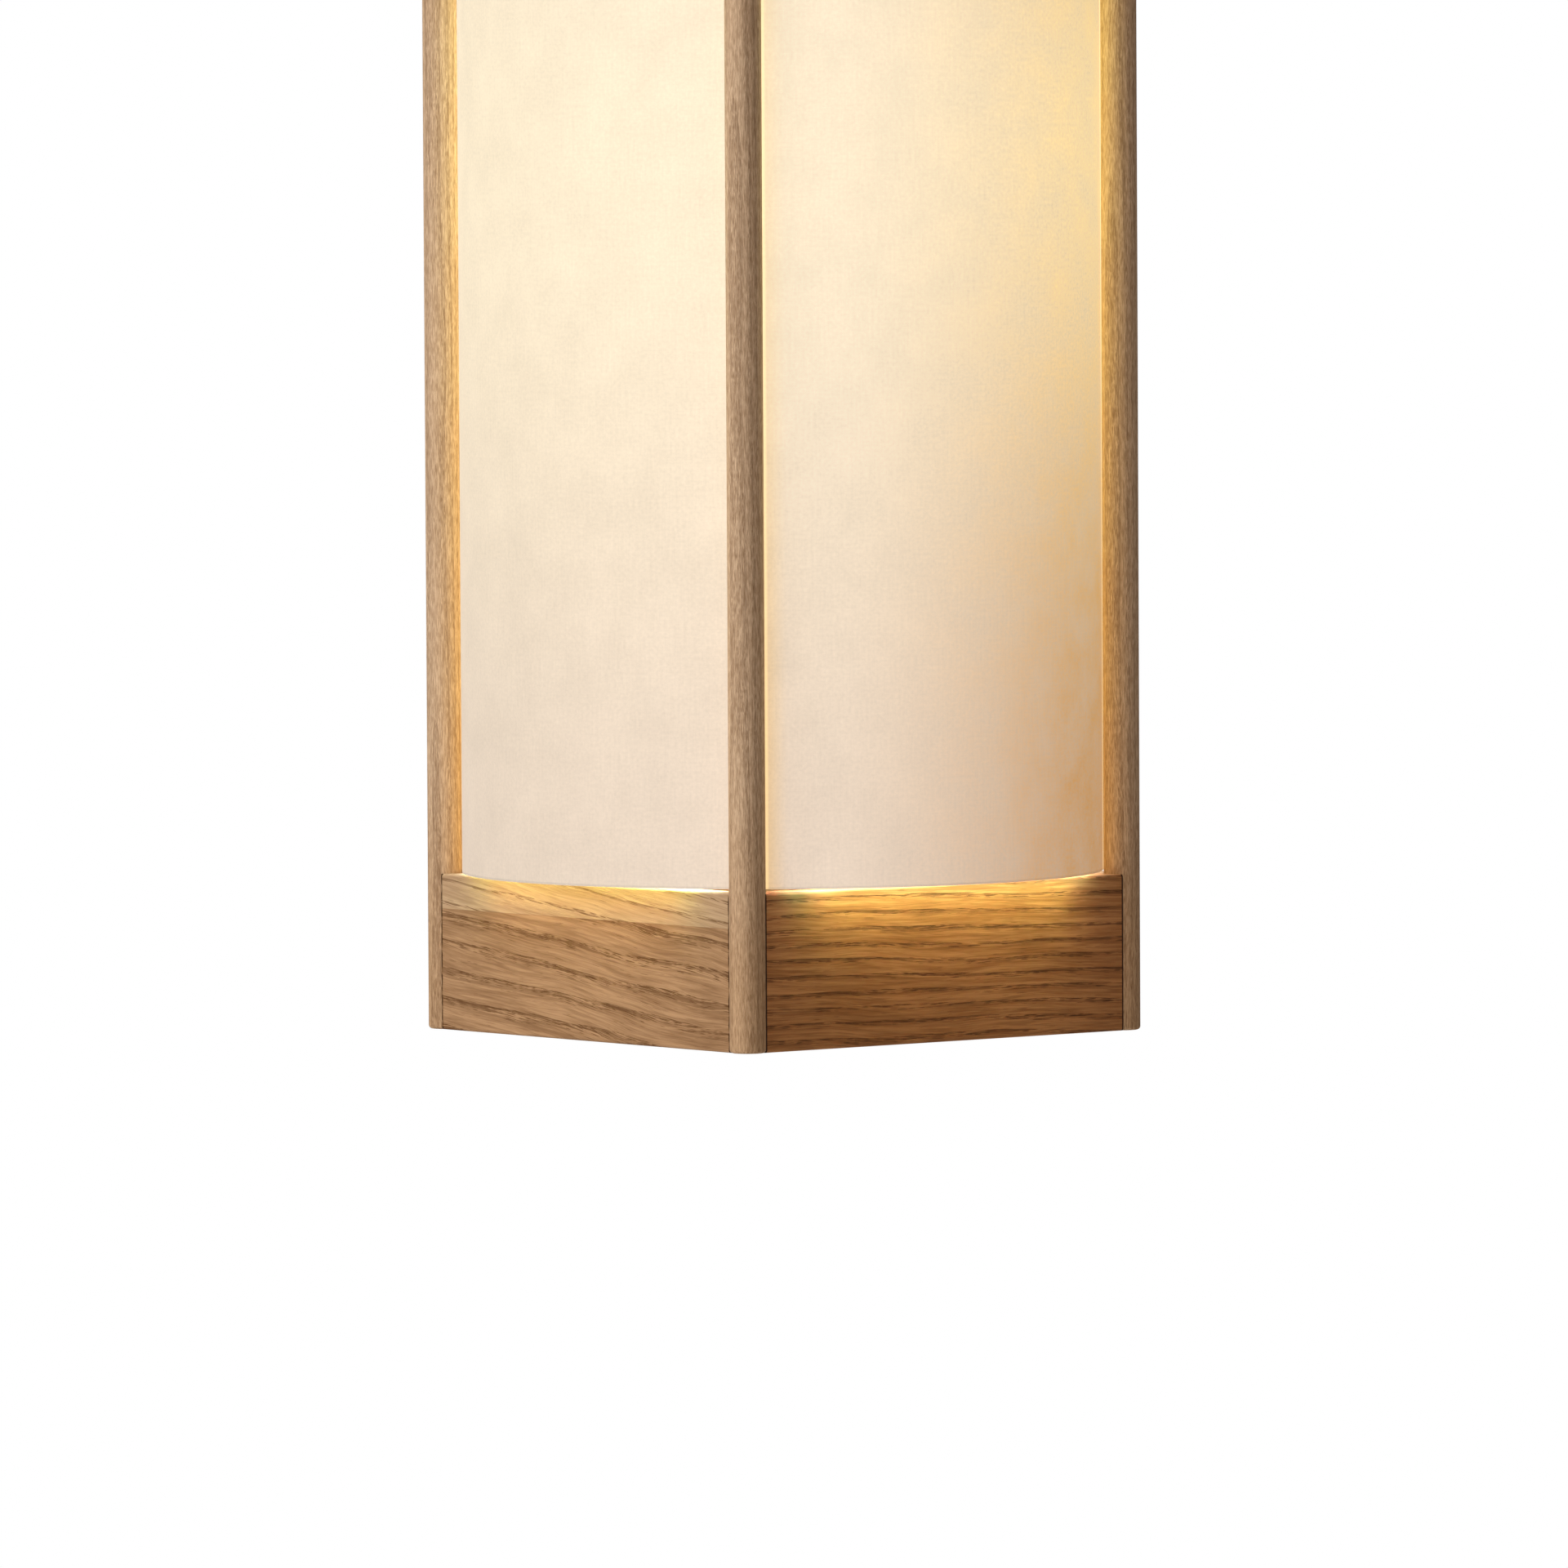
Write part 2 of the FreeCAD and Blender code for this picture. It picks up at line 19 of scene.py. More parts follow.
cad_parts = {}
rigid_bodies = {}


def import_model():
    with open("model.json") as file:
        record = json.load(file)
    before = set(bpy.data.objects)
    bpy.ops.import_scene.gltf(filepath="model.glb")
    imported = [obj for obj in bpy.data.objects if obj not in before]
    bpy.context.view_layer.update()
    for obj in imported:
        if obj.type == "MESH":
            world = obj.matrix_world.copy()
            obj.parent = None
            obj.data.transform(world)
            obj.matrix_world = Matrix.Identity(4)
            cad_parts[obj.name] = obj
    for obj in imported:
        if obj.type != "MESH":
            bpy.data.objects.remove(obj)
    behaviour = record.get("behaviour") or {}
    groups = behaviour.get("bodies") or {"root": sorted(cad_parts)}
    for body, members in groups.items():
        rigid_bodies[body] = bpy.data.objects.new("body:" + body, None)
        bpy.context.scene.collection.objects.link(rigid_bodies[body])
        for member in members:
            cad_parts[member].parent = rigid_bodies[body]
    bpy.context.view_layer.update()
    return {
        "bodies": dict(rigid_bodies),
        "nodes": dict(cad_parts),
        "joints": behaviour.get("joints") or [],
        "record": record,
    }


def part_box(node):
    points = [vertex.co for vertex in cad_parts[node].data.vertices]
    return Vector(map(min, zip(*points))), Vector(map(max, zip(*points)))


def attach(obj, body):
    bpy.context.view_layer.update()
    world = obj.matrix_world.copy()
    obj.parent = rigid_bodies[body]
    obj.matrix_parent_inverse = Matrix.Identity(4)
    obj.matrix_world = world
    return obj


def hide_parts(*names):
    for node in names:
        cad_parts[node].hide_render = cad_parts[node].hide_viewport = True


log = logging.getLogger("lantern")

MM = 0.001
QUARTER = math.pi / 2
Colour = Tuple[float, float, float]
Triple = Tuple[float, float, float]
Socket = bpy.types.NodeSocket
Feed = Union[float, Sequence[float], Socket]
Key = Union[int, str]
WHITE: Colour = (1.0, 1.0, 1.0)
UNIT: Triple = (1.0, 1.0, 1.0)
UP = Vector((0, 0, 1))
DOWN = Vector((0, 0, -1))


class Run(Enum):
    """Which way the grain of a wooden piece runs, as the object axes along, across and through it."""

    ALONG_X = (0, 2, 1)
    ALONG_Y = (1, 2, 0)
    UPRIGHT = (2, 0, 1)


class Side(Enum):
    """Sides of the frame, each a quarter turn on from the one before."""

    FRONT = "front"
    RIGHT = "right"
    BACK = "back"
    LEFT = "left"


class Tier(Enum):
    """The two rounds of boards."""

    LOWER = "lower"
    UPPER = "upper"


class Body(Enum):
    """Bodies that new pieces ride on."""

    FRAME = "frame"
    LAMP = "lamp"


class Wiring:
    """Adds nodes to one node tree and links them, so that a finish reads as a list of steps."""

    def __init__(self, tree: bpy.types.NodeTree) -> None:
        """Keep the tree to wire."""
        self.tree = tree

    def node(
        self, kind: str, inputs: Optional[Dict[Key, Feed]] = None, **settings: object
    ) -> bpy.types.Node:
        """Add one shader node.

        Args:
            kind: The node's type name without its ShaderNode prefix.
            inputs: What feeds its inputs, by their names or places.
            settings: Properties to set on the node.

        Returns:
            The new node.
        """
        made = self.tree.nodes.new("ShaderNode" + kind)
        for key, value in settings.items():
            setattr(made, key, value)
        for key, value in (inputs or {}).items():
            self.feed(made.inputs[key], value)
        return made

    def feed(self, socket: Socket, value: Feed) -> None:
        """Link a socket, or set its value.

        Args:
            socket: The input to feed.
            value: An output socket, a number, a vector or a colour.
        """
        if isinstance(value, bpy.types.NodeSocket):
            self.tree.links.new(value, socket)
        elif isinstance(value, (int, float)):
            socket.default_value = value
        else:
            wanted = len(socket.default_value)
            socket.default_value = (*value, 1.0)[:wanted]

    def math(self, operation: str, first: Feed, second: Feed = 0.0, clamp: bool = False) -> Socket:
        """One arithmetic step; a clamped result stays between 0 and 1."""
        return self.node("Math", {0: first, 1: second}, operation=operation, use_clamp=clamp).outputs[0]

    def add(self, *terms: Feed) -> Socket:
        """Sum of several numbers or sockets."""
        return reduce(lambda total, term: self.math("ADD", total, term), terms)

    def times(self, *factors: Feed) -> Socket:
        """Product of several numbers or sockets."""
        return reduce(lambda total, factor: self.math("MULTIPLY", total, factor), factors)

    def inverse(self, value: Feed) -> Socket:
        """One less a value."""
        return self.math("SUBTRACT", 1.0, value)

    def about_zero(self, value: Socket) -> Socket:
        """A value around one half, moved to lie around zero."""
        return self.math("SUBTRACT", value, 0.5)

    def vector(self, operation: str, first: Feed, second: Feed) -> Socket:
        """One vector step."""
        return self.node("VectorMath", {0: first, 1: second}, operation=operation).outputs[0]

    def split(self, vector: Socket) -> List[Socket]:
        """The three parts of a vector."""
        return list(self.node("SeparateXYZ", {0: vector}).outputs)

    def join(self, x: Feed, y: Feed, z: Feed) -> Socket:
        """A vector from its three parts."""
        return self.node("CombineXYZ", {0: x, 1: y, 2: z}).outputs[0]

    def radius(self, place: Socket) -> Socket:
        """Distance from the Z axis."""
        x, y, _ = self.split(place)
        return self.math("SQRT", self.add(self.times(x, x), self.times(y, y)))

    def mix(self, share: Feed, low: Feed, high: Feed) -> Socket:
        """Blend two colours, with the share that the second one has."""
        return self.node("Mix", {0: share, 6: low, 7: high}, data_type="RGBA").outputs[2]

    def blend(self, share: Socket, low: Socket, high: Socket) -> Socket:
        """Blend two shaders, with the share that the second one has."""
        return self.node("MixShader", {0: share, 1: low, 2: high}).outputs[0]

    def tint(self, colour: Feed, factor: Feed) -> Socket:
        """A colour made lighter or darker by a factor."""
        return self.node("VectorMath", {0: colour, "Scale": factor}, operation="SCALE").outputs[0]

    def step(self, value: Feed, low: float, high: float) -> Socket:
        """A soft step from 0 to 1.

        Args:
            value: What is compared.
            low: Where the step starts.
            high: Where it ends; below low for a falling step.

        Returns:
            The step's value.
        """
        falling = high < low
        inputs = {
            "Value": value,
            "From Min": min(low, high),
            "From Max": max(low, high),
            "To Min": 1.0 if falling else 0.0,
            "To Max": 0.0 if falling else 1.0,
        }
        return self.node("MapRange", inputs, interpolation_type="SMOOTHSTEP").outputs[0]

    def noise(self, place: Socket, size: Triple, detail: float = 2.0, rough: float = 0.5) -> Socket:
        """Cloudy noise whose clouds have a given size.

        Args:
            place: Position vector.
            size: Size of a cloud along each axis, in the position's own unit.
            detail: How many finer layers are added.
            rough: How strong the finer layers are.

        Returns:
            A value around one half.
        """
        scaled = self.vector("DIVIDE", place, size)
        inputs = {"Vector": scaled, "Scale": 1.0, "Detail": detail, "Roughness": rough}
        return self.node("TexNoise", inputs, noise_dimensions="3D").outputs[0]

    def cells(self, place: Socket) -> Tuple[Socket, Socket]:
        """Distance to the nearest of scattered unit cells, and a random number of that cell."""
        made = self.node("TexVoronoi", {"Vector": place, "Scale": 1.0}, feature="F1").outputs
        return made["Distance"], self.split(made["Color"])[0]

    def use(self, effect: bpy.types.NodeTree, values: Dict[str, Feed]) -> Dict[str, Socket]:
        """Place a shared effect: values feed its inputs by name, and its outputs come by name."""
        made = self.node("Group", values, node_tree=effect)
        return {socket.name: socket for socket in made.outputs}

    def bump(self, height: Socket, strength: float, depth: float) -> Socket:
        """The normal of a relief, whose height goes from 0 to 1 and whose depth is in metres."""
        return self.node("Bump", {"Strength": strength, "Distance": depth, "Height": height}).outputs[0]

    def seen(self) -> Socket:
        """Tell what is seen from what only gives light.

        Returns:
            1 for rays from cameras, mirrors and glass, and 0 for the rest.
        """
        path = self.node("LightPath")
        rays = [path.outputs[kind] for kind in ("Is Camera Ray", "Is Glossy Ray", "Is Transmission Ray")]
        return self.math("MINIMUM", self.add(*rays), 1.0)


class Effects:
    """Shared effects, each built once as a node group. Sizes of waves are in millimetres."""

    GRAIN_INPUTS = (
        "Position", "Ring spacing", "Slope", "Wander", "Band", "Crowding", "Vessel length", "Vessel width",
        "Fibre length", "Fibre width",
    )
    GRAIN_OUTPUTS = ("Rings", "Vessels", "Fibre", "Tone")
    VESSEL_LAYERS = (
        ((1.0, 1.0, 1.0), (0.0, 0.0, 0.0)),
        ((1.8, 1.35, 1.35), (3.7, 8.2, 5.1)),
        ((0.6, 1.2, 1.2), (7.3, 2.6, 9.4)),
    )
    LEAN = 0.4
    BROAD_WAVE, BROAD_SWING = (120.0, 36.0, 36.0), 4.0
    SMALL_WAVE, SMALL_SWING = (24.0, 8.0, 8.0), 0.8
    FIBRE_WAVE, FIBRE_SWING, FIBRE_SLOPE = (70.0, 30.0, 30.0), 4.5, 1.25
    FIBRE_PLACE = (311.0, 57.0, 83.0)
    PATCH = (18.0, 4.0, 4.0)
    STREAK = (30.0, 0.85, 0.85)
    HAIR_LINE = (52.0, 1.7, 1.7)
    SLOW_TONE = (70.0, 5.0, 9.0)
    STRAY_VESSELS = 0.06
    SCRATCH = (0.4, 0.4, 3.0)

    @staticmethod
    def open_group(
        name: str, inputs: Sequence[str], outputs: Sequence[str]
    ) -> Tuple[Wiring, Dict[str, Socket], bpy.types.Node]:
        """Start a node group.

        Args:
            name: Name of the effect.
            inputs: Names of its inputs; Position is a vector and the rest are numbers.
            outputs: Names of its outputs, all numbers.

        Returns:
            Its wiring, its input sockets by name and its output node.
        """
        tree = bpy.data.node_groups.new(name, "ShaderNodeTree")
        for wanted in inputs:
            kind = "NodeSocketVector" if wanted == "Position" else "NodeSocketFloat"
            tree.interface.new_socket(name=wanted, in_out="INPUT", socket_type=kind)
        for wanted in outputs:
            tree.interface.new_socket(name=wanted, in_out="OUTPUT", socket_type="NodeSocketFloat")
        entry = tree.nodes.new("NodeGroupInput")
        leave = tree.nodes.new("NodeGroupOutput")
        return Wiring(tree), {s.name: s for s in entry.outputs if s.name}, leave

    @classmethod
    @lru_cache(maxsize=None)
    def long_grain(cls) -> bpy.types.NodeTree:
        """Growth rings, vessel lines, fibre and slow tone of sawn wood.

        The position is in millimetres with X along the grain. The ring height is Y, plus a slope along X,
        a lean along Z and two noises, and a ring is the fraction of that height over the ring spacing,
        counted downwards. Vessels are three layers of cells drawn out along the fibre, which slopes more
        than the rings and waves on its own; they start at each ring's upper edge and thin out below it.
        Fine streaks and hair lines, where a drawn-out noise crosses one half, run between them.

        Returns:
            The node group.
        """
        w, given, leave = cls.open_group("long grain", cls.GRAIN_INPUTS, cls.GRAIN_OUTPUTS)
        place = given["Position"]
        x, y, z = w.split(place)
        broad = w.about_zero(w.noise(place, cls.BROAD_WAVE, 1.0))
        small = w.about_zero(w.noise(place, cls.SMALL_WAVE, 2.0))
        swing = w.about_zero(w.noise(w.vector("ADD", place, cls.FIBRE_PLACE), cls.FIBRE_WAVE, 1.0))
        height = w.add(
            y,
            w.times(x, given["Slope"]),
            w.times(z, cls.LEAN),
            w.times(broad, given["Wander"], cls.BROAD_SWING),
            w.times(small, given["Wander"], cls.SMALL_SWING),
        )
        turn = w.math("DIVIDE", height, given["Ring spacing"])
        below = w.math("FRACT", w.times(turn, -1.0))
        zone = w.math("SUBTRACT", 1.0, w.math("DIVIDE", below, given["Band"]), clamp=True)
        patchy = w.step(w.noise(place, cls.PATCH, 1.0), 0.25, 0.6)
        left_over = w.inverse(below)
        onset = w.times(w.step(below, 0.09, 0.0), w.add(w.times(patchy, 0.6), 0.4))
        w.feed(leave.inputs["Rings"], w.math("MAXIMUM", w.times(left_over, left_over, 0.6), onset))
        fibre_height = w.add(
            y,
            w.times(x, given["Slope"], cls.FIBRE_SLOPE),
            w.times(swing, given["Wander"], cls.FIBRE_SWING),
        )
        flow = w.join(x, fibre_height, z)

        def drawn_out(kind: str) -> Socket:
            """The fibre's own position, in lengths and widths of one kind of line."""
            length, width = given[kind + " length"], given[kind + " width"]
            return w.vector("DIVIDE", flow, w.join(length, width, width))

        cell = drawn_out("Vessel")
        thinned = w.times(zone, w.add(w.times(patchy, 0.45), given["Crowding"]))
        crowd = w.math("MAXIMUM", thinned, cls.STRAY_VESSELS)
        marks = []
        for density, shift in cls.VESSEL_LAYERS:
            spot = w.vector("ADD", w.vector("MULTIPLY", cell, density), shift)
            distance, chance = w.cells(spot)
            shown = w.step(w.math("SUBTRACT", crowd, chance), -0.02, 0.1)
            marks.append(w.times(w.step(distance, 0.46, 0.3), shown))
        lines = w.noise(flow, cls.STREAK, 3.0, 0.62)
        thick = w.add(w.times(w.math("POWER", zone, 0.7), w.add(w.times(patchy, 0.35), 0.45)), 0.14)
        marks.append(w.times(w.step(lines, 0.5, 0.4), thick))
        crossing = w.math("ABSOLUTE", w.about_zero(w.noise(flow, cls.HAIR_LINE, 1.0)))
        marks.append(w.times(w.step(crossing, 0.07, 0.02), w.add(w.times(zone, 0.4), 0.26)))
        w.feed(leave.inputs["Vessels"], reduce(lambda one, other: w.math("MAXIMUM", one, other), marks))
        w.feed(leave.inputs["Fibre"], w.noise(drawn_out("Fibre"), UNIT, 5.0, 0.68))
        w.feed(leave.inputs["Tone"], w.noise(w.join(x, height, z), cls.SLOW_TONE, 2.0))
        return w.tree

    @classmethod
    @lru_cache(maxsize=None)
    def cloud(cls) -> bpy.types.NodeTree:
        """Slow cloudy mottling and a fine grit, of a size given in the position's own unit.

        Returns:
            The node group.
        """
        w, given, leave = cls.open_group(
            "cloud and grit", ("Position", "Cloud size", "Grit size"), ("Cloud", "Grit")
        )
        for kind, detail, rough in (("Cloud", 4.0, 0.55), ("Grit", 2.0, 0.6)):
            size = given[kind + " size"]
            scaled = w.vector("DIVIDE", given["Position"], w.join(size, size, size))
            w.feed(leave.inputs[kind], w.noise(scaled, UNIT, detail, rough))
        return w.tree

    @classmethod
    @lru_cache(maxsize=None)
    def lamp_glow(cls) -> bpy.types.NodeTree:
        """Brightness that a lamp at one height gives the drum round it.

        A bell curve of the height: e to the minus half of the squared distance over the spread.

        Returns:
            The node group.
        """
        w, given, leave = cls.open_group("lamp glow", ("Position", "Height", "Spread"), ("Glow",))
        away = w.math("SUBTRACT", w.split(given["Position"])[2], given["Height"])
        share = w.math("DIVIDE", away, given["Spread"])
        w.feed(leave.inputs["Glow"], w.math("EXPONENT", w.times(share, share, -0.5)))
        return w.tree

    @classmethod
    @lru_cache(maxsize=None)
    def lathe_marks(cls) -> bpy.types.NodeTree:
        """Fine rings that a lathe leaves round the Z axis, with scattered scratches across them.

        Returns:
            The node group.
        """
        w, given, leave = cls.open_group("lathe marks", ("Position", "Pitch"), ("Marks", "Scratches"))
        place = given["Position"]
        line = w.math("DIVIDE", w.add(w.split(place)[2], w.radius(place)), given["Pitch"])
        w.feed(leave.inputs["Marks"], w.noise(w.join(line, 0.0, 0.0), UNIT, 3.0, 0.7))
        w.feed(leave.inputs["Scratches"], w.noise(place, cls.SCRATCH, 2.0, 0.6))
        return w.tree


class Paint:
    """A blank material with one Principled shader, and the positions that its patterns read."""

    def __init__(self, name: str) -> None:
        """Make the material and its shader.

        Args:
            name: The material's name.
        """
        self.material = bpy.data.materials.new(name)
        self.material.use_nodes = True
        tree = self.material.node_tree
        tree.nodes.clear()
        self.w = Wiring(tree)
        self.shader = self.w.node("BsdfPrincipled")
        self.surface = self.w.node("OutputMaterial").inputs["Surface"]
        self.w.feed(self.surface, self.shader.outputs[0])
        self.coordinates = self.w.node("TexCoord")

    def set(self, **sockets: Feed) -> None:
        """Feed the shader's sockets, named with underscores for spaces."""
        for name, value in sockets.items():
            self.w.feed(self.shader.inputs[name.replace("_", " ")], value)

    def place(self) -> Socket:
        """Position on the object, in metres."""
        return self.coordinates.outputs["Object"]

    def place_mm(self) -> Socket:
        """Position on the object, in millimetres."""
        return self.w.vector("DIVIDE", self.place(), (MM, MM, MM))

    def sheet_mm(self, width: float, height: float) -> Socket:
        """Position on a flat sheet in millimetres, from its UV map and its size in metres."""
        return self.w.vector("MULTIPLY", self.coordinates.outputs["UV"], (width / MM, height / MM, 0.0))

    def cloud(self, place: Socket, cloud_size: float, grit_size: float) -> Tuple[Socket, Socket]:
        """Cloudy mottling and fine grit.

        Args:
            place: Position vector.
            cloud_size: Size of a cloud, in the position's own unit.
            grit_size: Size of a grain of grit, in the same unit.

        Returns:
            The cloud and the grit, both around one half.
        """
        values = {"Position": place, "Cloud size": cloud_size, "Grit size": grit_size}
        made = self.w.use(Effects.cloud(), values)
        return made["Cloud"], made["Grit"]

    def glow(self, height: float, spread: float) -> Socket:
        """Brightness that a lamp at one height gives the object, as a bell curve."""
        values = {"Position": self.place(), "Height": height, "Spread": spread}
        return self.w.use(Effects.lamp_glow(), values)["Glow"]


@dataclass(frozen=True)
class Finish:
    """A named finish; each kind of finish fills a blank material in its own way."""

    name: str

    def fill(self, paint: Paint) -> None:
        """Wire the finish into a blank material."""
        raise NotImplementedError(self.name)

    def make(self) -> bpy.types.Material:
        """Build the material.

        Returns:
            The finished material.
        """
        paint = Paint(self.name)
        self.fill(paint)
        return paint.material


@dataclass(frozen=True)
class Grain:
    """How a plank was sawn. Sizes are in millimetres; shift says where in the log it was cut."""

    ring_spacing: float = 8.0
    slope: float = 0.03
    wander: float = 3.0
    band: float = 0.35
    crowding: float = 0.5
    vessel_length: float = 8.5
    vessel_width: float = 0.5
    fibre_length: float = 34.0
    fibre_width: float = 1.9
    shift: Triple = (0.0, 0.0, 0.0)

    def lay(self, w: Wiring, place: Socket) -> Dict[str, Socket]:
        """Place the long grain, whose inputs are named as the fields are.

        Args:
            w: Wiring of the material.
            place: Position in millimetres, X along the grain.

        Returns:
            Rings, Vessels, Fibre and Tone.
        """
        values = {"Position": w.vector("ADD", place, self.shift)}
        for size in fields(self):
            if size.name != "shift":
                values[size.name.capitalize().replace("_", " ")] = getattr(self, size.name)
        return w.use(Effects.long_grain(), values)


@dataclass(frozen=True)
class WoodTone:
    """Colours of a wood and how strongly its rings and vessels show."""

    light: Colour = (0.455, 0.277, 0.152)
    dark: Colour = (0.292, 0.164, 0.083)
    late: Colour = (0.23, 0.112, 0.047)
    vessel: Colour = (0.075, 0.031, 0.012)
    ring_depth: float = 0.30
    vessel_depth: float = 0.85
    slow_share: float = 0.3

    def colour(self, w: Wiring, grain: Dict[str, Socket]) -> Socket:
        """Colour of the wood.

        Args:
            w: Wiring of the material.
            grain: The placed grain.

        Returns:
            The colour.
        """
        slow = self.slow_share
        tone = w.step(w.add(w.times(grain["Fibre"], 1.0 - slow), w.times(grain["Tone"], slow)), 0.36, 0.64)
        plain = w.mix(tone, self.dark, self.light)
        ringed = w.mix(w.times(grain["Rings"], self.ring_depth), plain, self.late)
        return w.mix(w.times(grain["Vessels"], self.vessel_depth), ringed, self.vessel)


@dataclass(frozen=True)
class GluedStrip:
    """A paler strip glued along the top of a board; its lower edge is a height in millimetres."""

    lower_edge: float
    grain: Grain
    tone: WoodTone


@dataclass(frozen=True)
class WoodFinish(Finish):
    """Oiled wood, with sizes in millimetres.

    half_length is where a board's ends meet the posts, joint how unbroken the dark line there is and
    joint_line where it starts and is full; that line is partly dirt in the joint and partly painted shade
    of a gap between board and post. oiled_ends are the heights of a post's ends, towards which its
    colour turns darker and warmer.
    """

    run: Run
    grain: Grain
    tone: WoodTone = WoodTone()
    half_length: Optional[float] = None
    strip: Optional[GluedStrip] = None
    glue_line: float = 0.12
    joint: float = 0.6
    joint_line: Tuple[float, float] = (0.8, 0.6)
    joint_breaks: Triple = (0.8, 5.0, 2.0)
    joint_dark: float = 0.4
    # Heights of a post's ends; towards them the post's colour turns darker and warmer.
    oiled_ends: Optional[Tuple[float, float]] = None
    oil: Colour = (0.87, 0.80, 0.71)
    oil_fade: Tuple[float, float] = (120.0, 20.0)
    relief: float = 0.35
    pore_depth: float = 0.15

    def fill(self, paint: Paint) -> None:
        """Wood with rings, vessels, fibre, glue line and dark joint ends.

        Args:
            paint: The blank material.
        """
        w = paint.w
        parts = w.split(paint.place_mm())
        along, across, through = (parts[i] for i in self.run.value)
        place = w.join(along, across, through)
        grain = self.grain.lay(w, place)
        colour = self.tone.colour(w, grain)
        if self.strip:
            edge = self.strip.lower_edge
            upper = w.step(across, edge - self.glue_line, edge + self.glue_line)
            colour = w.mix(upper, colour, self.strip.tone.colour(w, self.strip.grain.lay(w, place)))
            colour = w.mix(w.times(upper, w.inverse(upper), 2.0), colour, self.tone.vessel)
        # Dark line at each board end: partly dirt in the joint, partly painted shade of a gap between board
        # and post.
        if self.half_length:
            start, full = (self.half_length - inward for inward in self.joint_line)
            end = w.step(w.math("ABSOLUTE", along), start, full)
            broken = w.step(w.noise(place, self.joint_breaks, 2.0), 0.36, 0.52)
            gap_shade = tuple(self.joint_dark * c for c in self.tone.vessel)
            colour = w.mix(w.times(end, w.add(w.times(broken, 1.0 - self.joint), self.joint)), colour, gap_shade)
        # Colour turns darker and warmer towards each end of a post.
        if self.oiled_ends:
            low, high = self.oiled_ends
            inward = w.math("MINIMUM", w.math("SUBTRACT", along, low), w.math("SUBTRACT", high, along))
            colour = w.vector("MULTIPLY", colour, w.mix(w.step(inward, *self.oil_fade), WHITE, self.oil))
        pores = w.math("SUBTRACT", w.times(grain["Fibre"], 0.35), grain["Vessels"])
        paint.set(
            Base_Color=colour,
            Roughness=w.add(w.times(grain["Fibre"], 0.2), w.times(grain["Vessels"], 0.15), 0.58),
            Specular_IOR_Level=0.12,
            Normal=w.bump(pores, self.relief, self.pore_depth * MM),
        )


